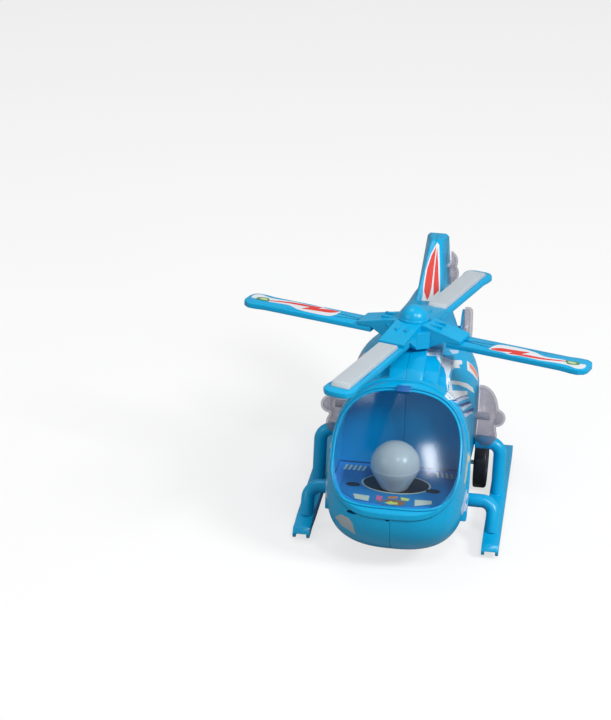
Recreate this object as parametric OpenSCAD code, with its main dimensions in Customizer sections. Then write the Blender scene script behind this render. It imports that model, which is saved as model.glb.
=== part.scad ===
// Battery toy helicopter with a turning rotor and a self-steering drive carriage.
// Millimetres. +Z is up, the nose points to -Y, +X is the helicopter's own left side.
// The modules are drawn about the rotor mast; the hand-over lines at the end shift everything
// so that the origin is on the floor below the middle of the overall box.

/* [Rotor] */
// Radius from the mast to a blade tip
rotor_r = 120; // [112:1:124]
// Height of the top face of the blades
blade_top_z = 132.5; // [132:0.1:133.5]
// Width of a blade
blade_w = 17.5; // [16:0.5:19]
// Thickness of a blade
blade_t = 3.6; // [3:0.1:4]
// How much lower the two plain blades sit than the two lit ones
plain_drop = 2; // [0:0.25:2.5]
// Angle at which the rotor is parked
rotor_park = -17.3; // [-45:0.1:45]
// How far the mast stands ahead of the middle of the overall length
mast_ahead = 31.8; // [31:0.1:33]
// Radius of the dome cap on the hub
cap_r = 9.3; // [8.5:0.1:9.8]

/* [Body] */
// Half width of the cabin at its widest
cabin_half_w = 44; // [43.6:0.1:44.4]
// Wall of the body shells
wall = 2.2; // [2:0.1:2.4]
// Length of the rounded nose in front of the cabin hoop
nose_len = 47; // [46:0.5:48]
// Height of the cockpit floor
floor_z = 47; // [46.5:0.1:47.5]
// Half width of the window opening
window_half_w = 39; // [38:0.5:39.5]
// Length of the window up its slope
window_len = 76; // [74:0.5:77]

/* [Running gear] */
// Radius of a rear wheel
rear_wheel_r = 17; // [16.5:0.1:17]
// Width of a rear wheel
rear_wheel_w = 9; // [8:0.5:9.5]
// Distance from the mast back to the rear axle
rear_axle_y = 51; // [50:0.5:51.5]
// Distance from the centre plane to the middle of a skid runner
skid_x = 61; // [60.5:0.5:62]
// Height of the skid soles above the floor
skid_sole_z = 3; // [2:0.5:4]
// Radius of a wheel of the drive carriage
drive_wheel_r = 10; // [9.9:0.05:10]
// Distance from the mast forward to the centre of the drive carriage
carriage_y = -41.5; // [-42:0.5:-41.5]

/* [Gears] */
// Module of every gear
gear_m = 0.6; // [0.58:0.01:0.6]
// Play between two flanks
backlash = 0.16; // [0.14:0.01:0.2]

/* [Fits] */
// Radial play of a turning shaft in its bore
run_play = 0.06; // [0.05:0.01:0.08]
// Gap between two fixed pieces
fixed_gap = 0.15; // [0.1:0.05:0.2]

/* [Hidden] */

BLUE = "deepskyblue";
CLEAR = "lavender";
STEEL = "silver";
BIG = 400;
SLAB = 0.6;
HALF_GAP = 0.05;

// Body stations behind the hoop: y, half width, height of the widest line, bottom, top,
// and the exponents of the lower and upper outline.
STATIONS = [
    [-54, cabin_half_w, 48, 8, 109.5, 2.6, 3.1],
    [-40, 43.5, 50, 8, 111.5, 3.2, 2.6],
    [-20, 42.5, 55, 8, 113, 4, 2.1],
    [0, 42, 60, 8, 113.5, 4, 2],
    [20, 42.5, 66, 8, 113, 4, 2.1],
    [40, 43, 70, 8, 110, 4, 2.4],
    [58, 41, 70, 10, 107, 3.6, 2.8],
    [74, 34, 68, 17, 105, 3, 3.4],
    [90, 27.5, 68, 27, 105, 2.6, 4],
    [108, 22.5, 72, 40, 106, 2.4, 4],
    [128, 18, 80, 54, 106, 2.4, 3.4],
    [150, 14, 88, 68, 106, 2.2, 3],
    [170, 9, 93, 79, 105, 2, 2.6]];
HOOP = STATIONS[0];
NOSE_STEPS = [0.995, 0.95, 0.87, 0.76, 0.62, 0.46, 0.28, 0.1];
BELLY_Z = 8;

FIN_TOP_Z = 136.5;
HOOP_LEAN = 13.5;
HOOP_W = 9;

// The window plane rises from the nose to the roof.
WINDOW_FOOT = [0, -97, 49];
WINDOW_TILT = 48;
SCREEN_R = 140;
SCREEN_RISE = 9;
SCREEN_T = 1.2;

MAST_R = 2;
MAST_LOW_Z = 62;
CAP_Z = 138.6;
HUB_LOW_Z = 124;
ARM_R = 36;
BLADE_SCREW_R = 31;

ROTOR_WHEEL_N = 36;
PINION_N = 12;
PRESSURE = 25;
TRAIN_Y = (ROTOR_WHEEL_N + PINION_N) / 2 * gear_m + 0.08;
PIN_R = 1.5;
MOTOR_SHAFT_R = 1;
BASE_Z = 75.5;
LOW_GEAR_Z = 79.5;
HIGH_GEAR_Z = 84;
COVER_Z = 91;
MOTOR_LEN = 25;
MOTOR_W = 20;
MOTOR_H = 15;

LAMP_POS = [-2, -60];
POD_POS = [30, 64];
TAIL_DISC_POS = [120, 84.5];
FIN_LED_POS = [160, 118];

STRUT_ROOTS = [[-28, 27], [24, 45]];
STRUT_LEAN = [28, 6];
STRUT_BEND = 8;
STRUT_R = 4.4;
STRUT_PIN_R = 2.2;
SIDE_X = 43.4;

AXLE_R = 1.5;
REAR_AXLE_Z = rear_wheel_r;
WHEEL_OUT_X = 51.5;

DRUM_R = 23;
WELL_R = 25.2;
DRUM_LOW_Z = 6;
DRUM_TOP_Z = 37;
WELL_TOP_Z = 41;
PIVOT_R = 4;
AXLE_GEAR_N = 28;
DRIVE_IDLER_N = 14;
DRIVE_MOTOR_Z = 28.5;
GEAR_X = 14;
GEAR_W = 3;

CELL_R = 7;
CELL_LEN = 50;
CELL_PITCH = 15.2;
BOX_Y = 10.1;
BOX_HALF_X = 23.4;
BOX_HALF_Y = 25.9;
BOX_WALL = 1.2;
BOX_TOP_Z = 26.5;
PLATE_T = 2.8;
PLATE_X = 26;
PLATE_Y0 = -30;
PLATE_Y1 = 60;
FRONT_SCREW = [22.5, -21.5];
REAR_SCREW_Y = 57.8;
SWITCH_POS = [14, 41];
SPEAKER_POS = [-12.2, 50];
SPEAKER_R = 6.4;

// ---------- outlines ----------

function power(v, n) = sign(v) * pow(abs(v), n);

// Rounded outline with its own exponent below and above the widest line.
function outline(s, w = 0, n = 44) = [for (i = [0:n - 1])
    let (a = 360 * (i + 0.5) / n, up = sin(a) >= 0, e = 2 / (up ? s[6] : s[5]))
    [(s[1] - w) * power(cos(a), e),
        s[2] + (up ? s[4] - w - s[2] : s[2] - s[3] - w) * power(sin(a), e)]];

// Station of the rounded nose, t = 0 at the hoop and 1 at its tip.
function nose_station(t, w) =
    let (fw = pow(1 - pow(t, 3.1), 1 / 3.1), fb = pow(1 - pow(t, 2.2), 1 / 2.2),
        ft = sqrt(1 - t * t))
    [HOOP[0] - (nose_len - w) * t, (HOOP[1] - w) * fw + w, HOOP[2],
        HOOP[2] - (HOOP[2] - HOOP[3] - w) * fb - w,
        HOOP[2] + (HOOP[4] - HOOP[2] - w) * ft + w, HOOP[5], HOOP[6]];

function all_stations(w) = concat([for (t = NOSE_STEPS) nose_station(t, w)], STATIONS);

module slab(s, w) {
    translate([0, s[0], 0])
        rotate([90, 0, 0])
            linear_extrude(SLAB, center = true)
                polygon(outline(s, w));
}

// Smooth body, w inside its outer skin.
module body_volume(w) {
    s = all_stations(w);
    for (i = [0:len(s) - 2])
        hull() {
            slab(s[i], w);
            slab(s[i + 1], w);
        }
}

// Everything above a plane parallel to the window, d in front of it.
module window_side(d) {
    translate(WINDOW_FOOT)
        rotate([WINDOW_TILT, 0, 0])
            translate([-BIG / 2, -BIG / 2, d])
                cube([BIG, BIG, BIG]);
}

// Window outline in its own plane, inset by w: tight lower corners, round top.
function window_pts(w) =
    let (hw = window_half_w - w, low = window_len * 0.45 - w, high = window_len * 0.55 - w)
    [for (i = [0:59]) let (a = 6 * (i + 0.5), e = 2 / (sin(a) < 0 ? 3.8 : 2.6))
        [hw * power(cos(a), e),
            window_len * 0.45 + 1 + (sin(a) < 0 ? low : high) * power(sin(a), e)]];

module window_prism(w, from, to) {
    translate(WINDOW_FOOT)
        rotate([WINDOW_TILT, 0, 0])
            translate([0, 0, from])
                linear_extrude(to - from)
                    polygon(window_pts(w));
}

// ---------- gears ----------

function involute_angle(rb, r) = let (p = acos(min(1, rb / r))) tan(p) * 180 / PI - p;

// Spur gear with a tooth centred on the angle phase.
module gear(n, width, phase) {
    rp = n * gear_m / 2;
    rb = rp * cos(PRESSURE);
    ra = rp + 0.8 * gear_m;
    rr = rp - 1.15 * gear_m;
    half = 90 / n - backlash / 2 / rp * 180 / PI / 2 + involute_angle(rb, rp);
    steps = [for (k = [0:3]) let (r = max(rb, rr) + (ra - max(rb, rr)) * k / 3)
        [r, half - involute_angle(rb, r)]];
    side = rr < rb ? concat([[rr, half]], steps) : steps;
    last = len(side) - 1;
    linear_extrude(width)
        polygon([for (t = [0:n - 1], k = [0:2 * last + 1])
            let (q = k <= last ? side[k] : side[2 * last + 1 - k],
                a = phase + t * 360 / n + (k <= last ? -q[1] : q[1]))
            q[0] * [cos(a), sin(a)]]);
}

// Shapes drawn in the y-z plane and extruded along x from x0.
module across(x0, w) {
    translate([x0, 0, 0])
        rotate([90, 0, 90])
            linear_extrude(w)
                children();
}

module rod_x(x0, x1, y, z, r) {
    translate([x0, y, z])
        rotate([0, 90, 0])
            cylinder(h = x1 - x0, r = r, $fn = 48);
}

module tube(h, r, bore) {
    difference() {
        cylinder(h = h, r = r, $fn = 64);
        translate([0, 0, -1])
            cylinder(h = h + 2, r = bore, $fn = 64);
    }
}

// Pan-head screw with a cross recess, its head at the bottom.
module screw(len, r = 1.2) {
    difference() {
        union() {
            cylinder(h = len, r = r, $fn = 32);
            cylinder(h = 1.4, r = 2 * r, $fn = 32);
        }
        for (a = [0, 90])
            rotate([0, 0, a])
                translate([-r * 1.2, -0.35, -0.1])
                    cube([r * 2.4, 0.7, 0.9]);
    }
}

// ---------- body ----------

// Raised housing around the mast with a stepped front.
module cowl_volume() {
    across(-11, 22)
        polygon([[-43, 96], [-43, 108], [-35, 117.5], [-14, 121.5], [14, 121.5], [34, 114], [44, 96]]);
    across(-20, 40)
        polygon([[-36, 94], [-36, 107], [-28, 114.5], [-10, 119], [10, 119], [28, 110], [38, 94]]);
    across(-27, 54)
        polygon([[-30, 88], [-30, 102], [-22, 109], [-8, 112], [8, 112], [24, 104], [32, 88]]);
}

// Thick swept fin that widens towards its trailing edge.
module fin_volume(w) {
    hull() {
        translate([0, 0, 96])
            linear_extrude(1)
                polygon([[-11 + w, 104 + w], [11 - w, 104 + w], [12 - w, 172 - w], [-12 + w, 172 - w]]);
        translate([0, 0, FIN_TOP_Z - 3 - w])
            linear_extrude(1)
                polygon([[-4.5 + w, 157 + w], [4.5 - w, 157 + w], [8 - w, 180 - w], [-8 + w, 180 - w]]);
        translate([0, 0, FIN_TOP_Z - 0.5 - w])
            linear_extrude(0.5)
                polygon([[-3.5 + w, 161 + w], [3.5 - w, 161 + w], [6 - w, 177 - w], [-6 + w, 177 - w]]);
    }
}

// Leaning band that stands proud of the cabin behind the window.
module hoop_band() {
    intersection() {
        hull()
            for (y = [-80, -35])
                slab([y, HOOP[1] + 1.2, HOOP[2], HOOP[3], 113, 5, 2.8], 0);
        translate([0, -62, 29])
            rotate([-HOOP_LEAN, 0, 0])
                translate([-BIG / 2, -HOOP_W / 2, 0])
                    cube([BIG, HOOP_W, 100]);
    }
}

module outer_body() {
    body_volume(0);
    cowl_volume();
    fin_volume(0);
    hoop_band();
}

module body_cavity() {
    body_volume(wall);
    fin_volume(wall);
    difference() {
        cylinder(h = 118, r = 9, $fn = 48);
        cylinder(h = 107, r = 10, $fn = 48);
    }
}

// Walls and ledges moulded inside the two halves.
module inner_ribs() {
    intersection() {
        body_volume(wall / 2);
        union() {
            translate([-50, -29, floor_z + 0.3])
                cube([100, 1.8, 62]);
            for (s = [-1, 1]) {
                translate([s * 37.5 - 3.5, -4, 71.5])
                    cube([7, 48, 3.8]);
                translate([s * 38 - 4, -88, floor_z - 4.1])
                    cube([8, 56, 2]);
            }
            for (s = [-1, 1])
                translate([s * 27 - 8, FRONT_SCREW[1] - 3, BELLY_Z + PLATE_T + 0.1])
                    cube([16, 6, 6]);
            translate([-5, 68, 10])
                cube([10, 9, 29]);
        }
    }
}

module body_openings() {
    window_side(0);
    // belly plate
    translate([-PLATE_X - fixed_gap, PLATE_Y0 - fixed_gap, 0])
        cube([2 * (PLATE_X + fixed_gap), PLATE_Y1 - PLATE_Y0 + 2 * fixed_gap, BELLY_Z + PLATE_T + 0.1]);
    // what stands on the plate
    translate([-PLATE_X - fixed_gap, BOX_Y - BOX_HALF_Y - BOX_WALL - fixed_gap, 0])
        cube([2 * (PLATE_X + fixed_gap), PLATE_Y1 + fixed_gap - BOX_Y + BOX_HALF_Y + BOX_WALL + fixed_gap, 18]);
    // front screws of the plate
    for (s = [-1, 1])
        translate([s * FRONT_SCREW[0], FRONT_SCREW[1], 0])
            cylinder(h = 16, r = 1.25, $fn = 24);
    // carriage well
    translate([0, carriage_y, 0])
        cylinder(h = 43.5, r = WELL_R + fixed_gap, $fn = 64);
    // rear axle
    rod_x(-BIG / 2, BIG / 2, rear_axle_y, REAR_AXLE_Z, 2.4);
    // mast bush
    translate([0, 0, 100])
        cylinder(h = 30, r = 4.5 + fixed_gap, $fn = 48);
    // lamp leads to the pods
    rod_x(-BIG / 2, BIG / 2, 28, 62, 4);
    // wires to the tail disc
    rod_x(0, BIG / 2, TAIL_DISC_POS[0], TAIL_DISC_POS[1], 4);
    // wires to the fin lens
    rod_x(0, BIG / 2, FIN_LED_POS[0], FIN_LED_POS[1], 2);
    // strut pins
    for (p = STRUT_ROOTS)
        rod_x(-BIG / 2, BIG / 2, p[0], p[1], STRUT_PIN_R + fixed_gap);
    // screws that clamp the halves
    translate([0, 72.5, 34.5])
        rotate([0, 90, 0])
            cylinder(h = 2 * BIG, r = 1.35, center = true, $fn = 24);
}

module fuselage_half(s) {
    intersection() {
        difference() {
            outer_body();
            difference() {
                body_cavity();
                inner_ribs();
            }
            body_openings();
        }
        translate([s > 0 ? HALF_GAP : -BIG - HALF_GAP, -BIG / 2, -1])
            cube([BIG, BIG, BIG]);
    }
}

module fuselage_left() { color(BLUE) fuselage_half(1); }

module fuselage_right() { color(BLUE) fuselage_half(-1); }

module window_bezel() {
    color(BLUE)
        intersection() {
            difference() {
                body_volume(-0.6);
                window_side(3);
                window_prism(0, -10, 20);
            }
            window_side(HALF_GAP);
        }
}

module windscreen() {
    color(CLEAR)
        intersection() {
            window_prism(fixed_gap, -12, 20);
            translate(WINDOW_FOOT)
                rotate([WINDOW_TILT, 0, 0])
                    translate([0, window_len / 2 + 1, SCREEN_RISE - SCREEN_R])
                        difference() {
                            sphere(r = SCREEN_R, $fn = 96);
                            sphere(r = SCREEN_R - SCREEN_T, $fn = 96);
                        }
        }
}

module window_catch() {
    color("royalblue")
        translate(WINDOW_FOOT)
            rotate([WINDOW_TILT, 0, 0])
                for (lip = [[window_len + 1.3, 3.05, 2.45], [window_len - 0.5, 4.5, 1]])
                    translate([-4.5, lip[0], lip[1]])
                        cube([9, window_len + 3.7 - lip[0], lip[2]]);
}

module cockpit_floor() {
    color("dodgerblue")
        difference() {
            intersection() {
                body_volume(wall + 0.3);
                translate([-50, -97, floor_z - 2])
                    cube([100, 67.5, 2]);
            }
            window_side(-1);
            translate([LAMP_POS[0], LAMP_POS[1], 0])
                cylinder(h = 60, r = 3.2, $fn = 32);
        }
}

module instrument_sheet() {
    color("navy")
        translate([0, 0, floor_z + HALF_GAP])
            linear_extrude(0.3)
                difference() {
                    polygon([[-36, -34], [36, -34], [36, -72], [24, -84], [0, -88], [-24, -84], [-36, -72]]);
                    translate(LAMP_POS)
                        circle(r = 9.6, $fn = 48);
                }
}

// Lamp shaped as a domed head: narrow bowl below, hemisphere above.
module pilot_lamp() {
    color("white")
        translate([LAMP_POS[0], LAMP_POS[1], floor_z])
            rotate_extrude($fn = 64)
                polygon(concat(
                    [[8, 0], [9, 0], [9.4, 4], [14.2, 9.5], [15.8, 12], [15.8, 15.5]],
                    [for (a = [5:8.5:90]) [15.6 * cos(a), 15.5 + 15.3 * sin(a)]],
                    [[0, 29.6]],
                    [for (a = [88:-8.5:3]) [14.4 * cos(a), 15.5 + 14.1 * sin(a)]],
                    [[14.6, 12.4], [13, 9.8], [8.2, 4.6]]));
}

module lamp_led() {
    color("gold")
        translate([LAMP_POS[0], LAMP_POS[1], floor_z - 1]) {
            cylinder(h = 10, r = 2.5, $fn = 32);
            translate([0, 0, 10])
                sphere(r = 2.5, $fn = 32);
        }
}

// ---------- lights on the sides and tail ----------

// Outer surface of a side light, w inside its skin: a dome on a neck, with a round lump.
module pod_skin(w) {
    translate([SIDE_X, POD_POS[0], POD_POS[1]])
        rotate([0, 90, 0])
            rotate_extrude($fn = 72)
                polygon(concat([[0, -5]], [[20.5 - w, -5], [20.5 - w, 1]],
                    [for (a = [6:12:90]) [20.5 * cos(a) - w * cos(a), 1 + (12.5 - w) * sin(a)]],
                    [[0, 13.5 - w]]));
    translate([56.3, 30, 60.5])
        sphere(r = 6 - w, $fn = 48);
    translate([50, 24, 50])
        sphere(r = 7.5 - w, $fn = 48);
}

module engine_pod() {
    color(CLEAR)
        difference() {
            pod_skin(0);
            pod_skin(1.4);
            translate([SIDE_X - BIG, -BIG / 2, 0])
                cube([BIG, BIG, BIG]);
            rod_x(0, BIG, STRUT_ROOTS[1][0], STRUT_ROOTS[1][1], STRUT_R + fixed_gap);
        }
}

module engine_pod_left() { engine_pod(); }

module engine_pod_right() { mirror([1, 0, 0]) engine_pod(); }

module pod_leds() {
    color("tomato")
        for (s = [-1, 1])
            translate([s * 40, 28, 62])
                rotate([0, s * 90, 0])
                    cylinder(h = 12, r = 2.5, $fn = 32);
}

module tail_disc() {
    color(CLEAR)
        translate([25.6, TAIL_DISC_POS[0], TAIL_DISC_POS[1]])
            rotate([0, 90, 0])
                rotate_extrude($fn = 72)
                    polygon([[0, 4.2], [15.2, 3.6], [16, 3], [16, 0], [17.5, 0], [17.5, 3.4],
                        [16, 5.2], [5, 6], [0, 6]]);
}

module tail_disc_base() {
    color(BLUE)
        difference() {
            union() {
                rod_x(23.8, 25.5, TAIL_DISC_POS[0], TAIL_DISC_POS[1], 15.8);
                rod_x(16, 24, TAIL_DISC_POS[0], TAIL_DISC_POS[1], 3.9);
            }
            rod_x(10, 30, TAIL_DISC_POS[0], TAIL_DISC_POS[1], 2.6);
        }
}

module fin_lens_skin(w) {
    translate([8, 158, 122])
        sphere(r = 8.5 - w, $fn = 64);
    translate([9.5, 161, 112])
        sphere(r = 8 - w, $fn = 64);
}

module fin_lens() {
    color(CLEAR)
        difference() {
            fin_lens_skin(0);
            fin_lens_skin(1.2);
            translate([11.3 - BIG, 0, 0])
                cube([BIG, BIG, BIG]);
        }
}

module tail_leds() {
    color("tomato") {
        rod_x(17, 27, TAIL_DISC_POS[0], TAIL_DISC_POS[1], 2.5);
        rod_x(6, 12, FIN_LED_POS[0], FIN_LED_POS[1], 1.8);
    }
}

// ---------- skids ----------

// Arched strut that plugs into the side of the body, bends down and leans towards its foot.
module strut(s, root, lean) {
    reach = skid_x - 0.5 - STRUT_BEND;
    leg = (root[1] - skid_sole_z - 6) / cos(lean) - STRUT_BEND;
    translate([0, root[0], root[1]])
        mirror([s > 0 ? 0 : 1, 0, 0])
            rotate([-lean, 0, 0]) {
                rod_x(SIDE_X, reach, 0, 0, STRUT_R);
                rod_x(38, SIDE_X + 1, 0, 0, STRUT_PIN_R);
                translate([reach, 0, -STRUT_BEND])
                    rotate([90, 0, 0])
                        rotate_extrude(angle = 90, $fn = 96)
                            translate([STRUT_BEND, 0])
                                circle(r = STRUT_R, $fn = 48);
                translate([reach + STRUT_BEND, 0, -STRUT_BEND - leg])
                    cylinder(h = leg, r = STRUT_R, $fn = 48);
            }
}

// Inverted channel runner with an upturned tip, and two arched struts.
module skid(s) {
    color(BLUE)
        difference() {
            union() {
                across(s * skid_x - 5.5, 11)
                    polygon([[-57, skid_sole_z], [-52, skid_sole_z], [-44, skid_sole_z + 1],
                        [-30, skid_sole_z], [97, skid_sole_z], [99, skid_sole_z + 2],
                        [99, skid_sole_z + 7], [-40, skid_sole_z + 7.5], [-50, skid_sole_z + 6],
                        [-55, skid_sole_z + 6.5], [-58, skid_sole_z + 3]]);
                for (i = [0, 1])
                    strut(s, STRUT_ROOTS[i], STRUT_LEAN[i]);
            }
            across(s * skid_x - 3.5, 7)
                polygon([[-60, skid_sole_z - 3], [102, skid_sole_z - 3], [102, skid_sole_z + 4.5],
                    [-38, skid_sole_z + 4.5], [-48, skid_sole_z + 3], [-60, skid_sole_z + 3]]);
        }
}

module skid_left() { skid(1); }

module skid_right() { skid(-1); }

// ---------- rotor ----------

function drop_at(a) = a % 180 == 0 ? plain_drop : 0;

module parked() {
    rotate([0, 0, rotor_park])
        children();
}

module rotor_hub() {
    color(BLUE)
        parked()
            difference() {
                union() {
                    translate([0, 0, HUB_LOW_Z])
                        cylinder(h = CAP_Z - HUB_LOW_Z, r = 11.5, $fn = 64);
                    for (a = [0:90:270])
                        rotate([0, 0, a]) {
                            translate([0, blade_w / 2, 0])
                                rotate([90, 0, 0])
                                    linear_extrude(blade_w)
                                        polygon([[0, HUB_LOW_Z], [14, HUB_LOW_Z],
                                            [26, blade_top_z + 0.1 - drop_at(a)],
                                            [ARM_R, blade_top_z + 0.1 - drop_at(a)],
                                            [ARM_R, blade_top_z + 2.1 - drop_at(a)],
                                            [11, CAP_Z], [0, CAP_Z]]);
                            for (s = [-1, 1])
                                translate([13, s * 3.2 - 0.8, 135])
                                    cube([8, 1.6, 3.4]);
                        }
                    for (a = [45:90:315])
                        rotate([0, 0, a])
                            translate([0, 0, HUB_LOW_Z])
                                linear_extrude(11)
                                    polygon([[0, -13], [17, -4.5], [17, 4.5], [0, 13]]);
                }
                translate([0, 0, HUB_LOW_Z - 1])
                    cylinder(h = 12, r = MAST_R, $fn = 64);
                for (a = [0:90:270])
                    rotate([0, 0, a])
                        translate([BLADE_SCREW_R, 0, 120])
                            cylinder(h = 14 - drop_at(a), r = 1.25, $fn = 32);
            }
}

module hub_cap() {
    color(BLUE)
        translate([0, 0, CAP_Z + 0.02])
            intersection() {
                union() {
                    sphere(r = cap_r, $fn = 64);
                    cylinder(h = 1.2, r = cap_r + 0.6, $fn = 64);
                }
                cylinder(h = 20, r = 20, $fn = 64);
            }
}

module rotor_mast() {
    color(STEEL)
        translate([0, 0, MAST_LOW_Z])
            cylinder(h = HUB_LOW_Z + 11 - MAST_LOW_Z, r = MAST_R, $fn = 64);
}

module mast_gear() {
    color("white")
        difference() {
            union() {
                translate([0, 0, HIGH_GEAR_Z])
                    gear(ROTOR_WHEEL_N, 4, 90);
                translate([0, 0, HIGH_GEAR_Z + 3])
                    cylinder(h = 3.4, r = 4, $fn = 48);
            }
            translate([0, 0, HIGH_GEAR_Z - 5])
                cylinder(h = 20, r = MAST_R, $fn = 64);
        }
}

module mast_bush() {
    color("white")
        difference() {
            union() {
                translate([0, 0, 108])
                    cylinder(h = 14, r = 4.5, $fn = 48);
                translate([0, 0, 121.6])
                    cylinder(h = 1, r = 6, $fn = 48);
            }
            translate([0, 0, 100])
                cylinder(h = 40, r = MAST_R + run_play, $fn = 64);
        }
}

module blade_plan(r0) {
    polygon([[r0, -blade_w / 2], [rotor_r - 16, -blade_w / 2], [rotor_r - 10, -blade_w / 2 - 1],
        [rotor_r - 5, -blade_w / 2 - 1], [rotor_r - 1.2, -blade_w / 2 + 1.6],
        [rotor_r, -blade_w / 2 + 5], [rotor_r, blade_w / 2 - 5],
        [rotor_r - 1.2, blade_w / 2 - 1.6], [rotor_r - 5, blade_w / 2 + 1],
        [rotor_r - 10, blade_w / 2 + 1], [rotor_r - 16, blade_w / 2], [r0, blade_w / 2]]);
}

// Blade that is hollow underneath; its root tucks under the hub arm.
module blade(a) {
    color(BLUE)
        translate([0, 0, -drop_at(a)])
            rotate([0, 0, rotor_park + a])
                difference() {
                    translate([0, 0, blade_top_z - blade_t])
                        linear_extrude(blade_t)
                            blade_plan(26.3);
                    translate([38, -blade_w / 2 + 1.5, blade_top_z - blade_t - 1])
                        cube([rotor_r - 46, blade_w - 3, blade_t - 0.6]);
                    translate([BLADE_SCREW_R, 0, 100])
                        cylinder(h = 50, r = 1.35, $fn = 32);
                }
}

module blade_left() { blade(0); }

module blade_right() { blade(180); }

module blade_front() { blade(-90); }

module blade_rear() { blade(90); }

// Raised light cover with sloping ends, open underneath.
module blade_lens(a) {
    color("white")
        rotate([0, 0, rotor_park + a])
            translate([0, 6.25, blade_top_z + 0.02])
                rotate([90, 0, 0])
                    difference() {
                        linear_extrude(12.5)
                            polygon([[38, 0], [rotor_r - 7, 0], [rotor_r - 9.5, 3], [40.5, 3]]);
                        translate([0, 0, 1])
                            linear_extrude(10.5)
                                polygon([[39.6, -1], [rotor_r - 8.6, -1], [rotor_r - 10, 2],
                                    [41, 2]]);
                    }
}

module blade_lens_front() { blade_lens(-90); }

module blade_lens_rear() { blade_lens(90); }

module blade_leds() {
    color("orange")
        for (a = [-90, 90], r = [52:13:104])
            rotate([0, 0, rotor_park + a])
                translate([r - 1.6, -1.4, blade_top_z + 0.05])
                    cube([3.2, 2.8, 1.4]);
}

module blade_screws() {
    color(STEEL)
        for (a = [0:90:270])
            rotate([0, 0, rotor_park + a])
                translate([BLADE_SCREW_R, 0, blade_top_z - blade_t - 1.45 - drop_at(a)])
                    screw(6.4);
}

// ---------- rotor gearbox ----------

module plate(z, t) {
    translate([-13.5, -12, z])
        cube([27, 54, t]);
}

module gearbox_base() {
    color("ivory")
        difference() {
            union() {
                plate(BASE_Z, 2);
                for (s = [-1, 1]) {
                    translate([s * 25 - 12, -3, BASE_Z])
                        cube([24, 46, 2]);
                    for (y = [-9.5, 39])
                        translate([s * 11, y, BASE_Z + 1])
                            cylinder(h = COVER_Z - BASE_Z - 1, r = 2.4, $fn = 32);
                }
            }
            translate([0, 0, BASE_Z - 1])
                cylinder(h = 4, r = MAST_R + run_play, $fn = 64);
            translate([0, TRAIN_Y, BASE_Z - 1])
                cylinder(h = 4, r = PIN_R, $fn = 48);
            translate([0, 2 * TRAIN_Y, BASE_Z - 1])
                cylinder(h = 4, r = 3.2, $fn = 48);
        }
}

module gearbox_cover() {
    color("ivory")
        difference() {
            plate(COVER_Z + 0.02, 2);
            translate([0, 0, COVER_Z - 1])
                cylinder(h = 4, r = MAST_R + run_play, $fn = 64);
            translate([0, TRAIN_Y, COVER_Z - 1])
                cylinder(h = 4, r = PIN_R, $fn = 48);
        }
}

// Two-step gear: its large wheel takes the motor pinion, its small one turns the mast.
module rotor_idler() {
    color("white")
        translate([0, TRAIN_Y, 0])
            difference() {
                union() {
                    translate([0, 0, LOW_GEAR_Z])
                        gear(ROTOR_WHEEL_N, 3, 90);
                    translate([0, 0, LOW_GEAR_Z + 2.9])
                        gear(PINION_N, 8, 270 + 180 / PINION_N);
                }
                translate([0, 0, LOW_GEAR_Z - 1])
                    cylinder(h = 20, r = PIN_R + run_play, $fn = 64);
            }
}

module idler_pin() {
    color(STEEL)
        translate([0, TRAIN_Y, BASE_Z])
            cylinder(h = COVER_Z + 2 - BASE_Z, r = PIN_R, $fn = 48);
}

// Small can motor standing on z = 0 with its shaft end up.
module can_motor() {
    difference() {
        union() {
            intersection() {
                cylinder(h = MOTOR_LEN, r = MOTOR_W / 2, $fn = 64);
                translate([-MOTOR_W / 2, -MOTOR_H / 2, 0])
                    cube([MOTOR_W, MOTOR_H, MOTOR_LEN]);
            }
            translate([0, 0, MOTOR_LEN - 0.1])
                cylinder(h = 1.6, r = 3, $fn = 48);
        }
        translate([0, 0, -1])
            cylinder(h = MOTOR_LEN + 5, r = MOTOR_SHAFT_R + run_play, $fn = 48);
    }
}

module rotor_motor() {
    color(STEEL)
        translate([0, 2 * TRAIN_Y, BASE_Z - MOTOR_LEN - 0.05])
            can_motor();
}

// Motor shaft with its pinion.
module shaft_and_pinion(phase, gear_z) {
    translate([0, 0, -1.5])
        cylinder(h = gear_z + 5.2, r = MOTOR_SHAFT_R, $fn = 48);
    translate([0, 0, gear_z])
        gear(PINION_N, 3.4, phase);
}

module rotor_motor_shaft() {
    color("gold")
        translate([0, 2 * TRAIN_Y, BASE_Z - MOTOR_LEN])
            shaft_and_pinion(270 + 180 / PINION_N, MOTOR_LEN + 3.8);
}

// ---------- chassis and rear wheels ----------

module battery_bay() {
    difference() {
        translate([-BOX_HALF_X - BOX_WALL, BOX_Y - BOX_HALF_Y - BOX_WALL, BELLY_Z + 1])
            cube([2 * (BOX_HALF_X + BOX_WALL), 2 * (BOX_HALF_Y + BOX_WALL), BOX_TOP_Z - BELLY_Z]);
        translate([-BOX_HALF_X, BOX_Y - BOX_HALF_Y, 0])
            cube([2 * BOX_HALF_X, 2 * BOX_HALF_Y, BOX_TOP_Z - 0.5]);
    }
}

module speaker_holes() {
    for (a = [0:60:300])
        rotate([0, 0, a])
            translate([4, 0, 0])
                cylinder(h = 12, r = 1, $fn = 24);
    cylinder(h = 12, r = 1, $fn = 24);
}

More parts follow.
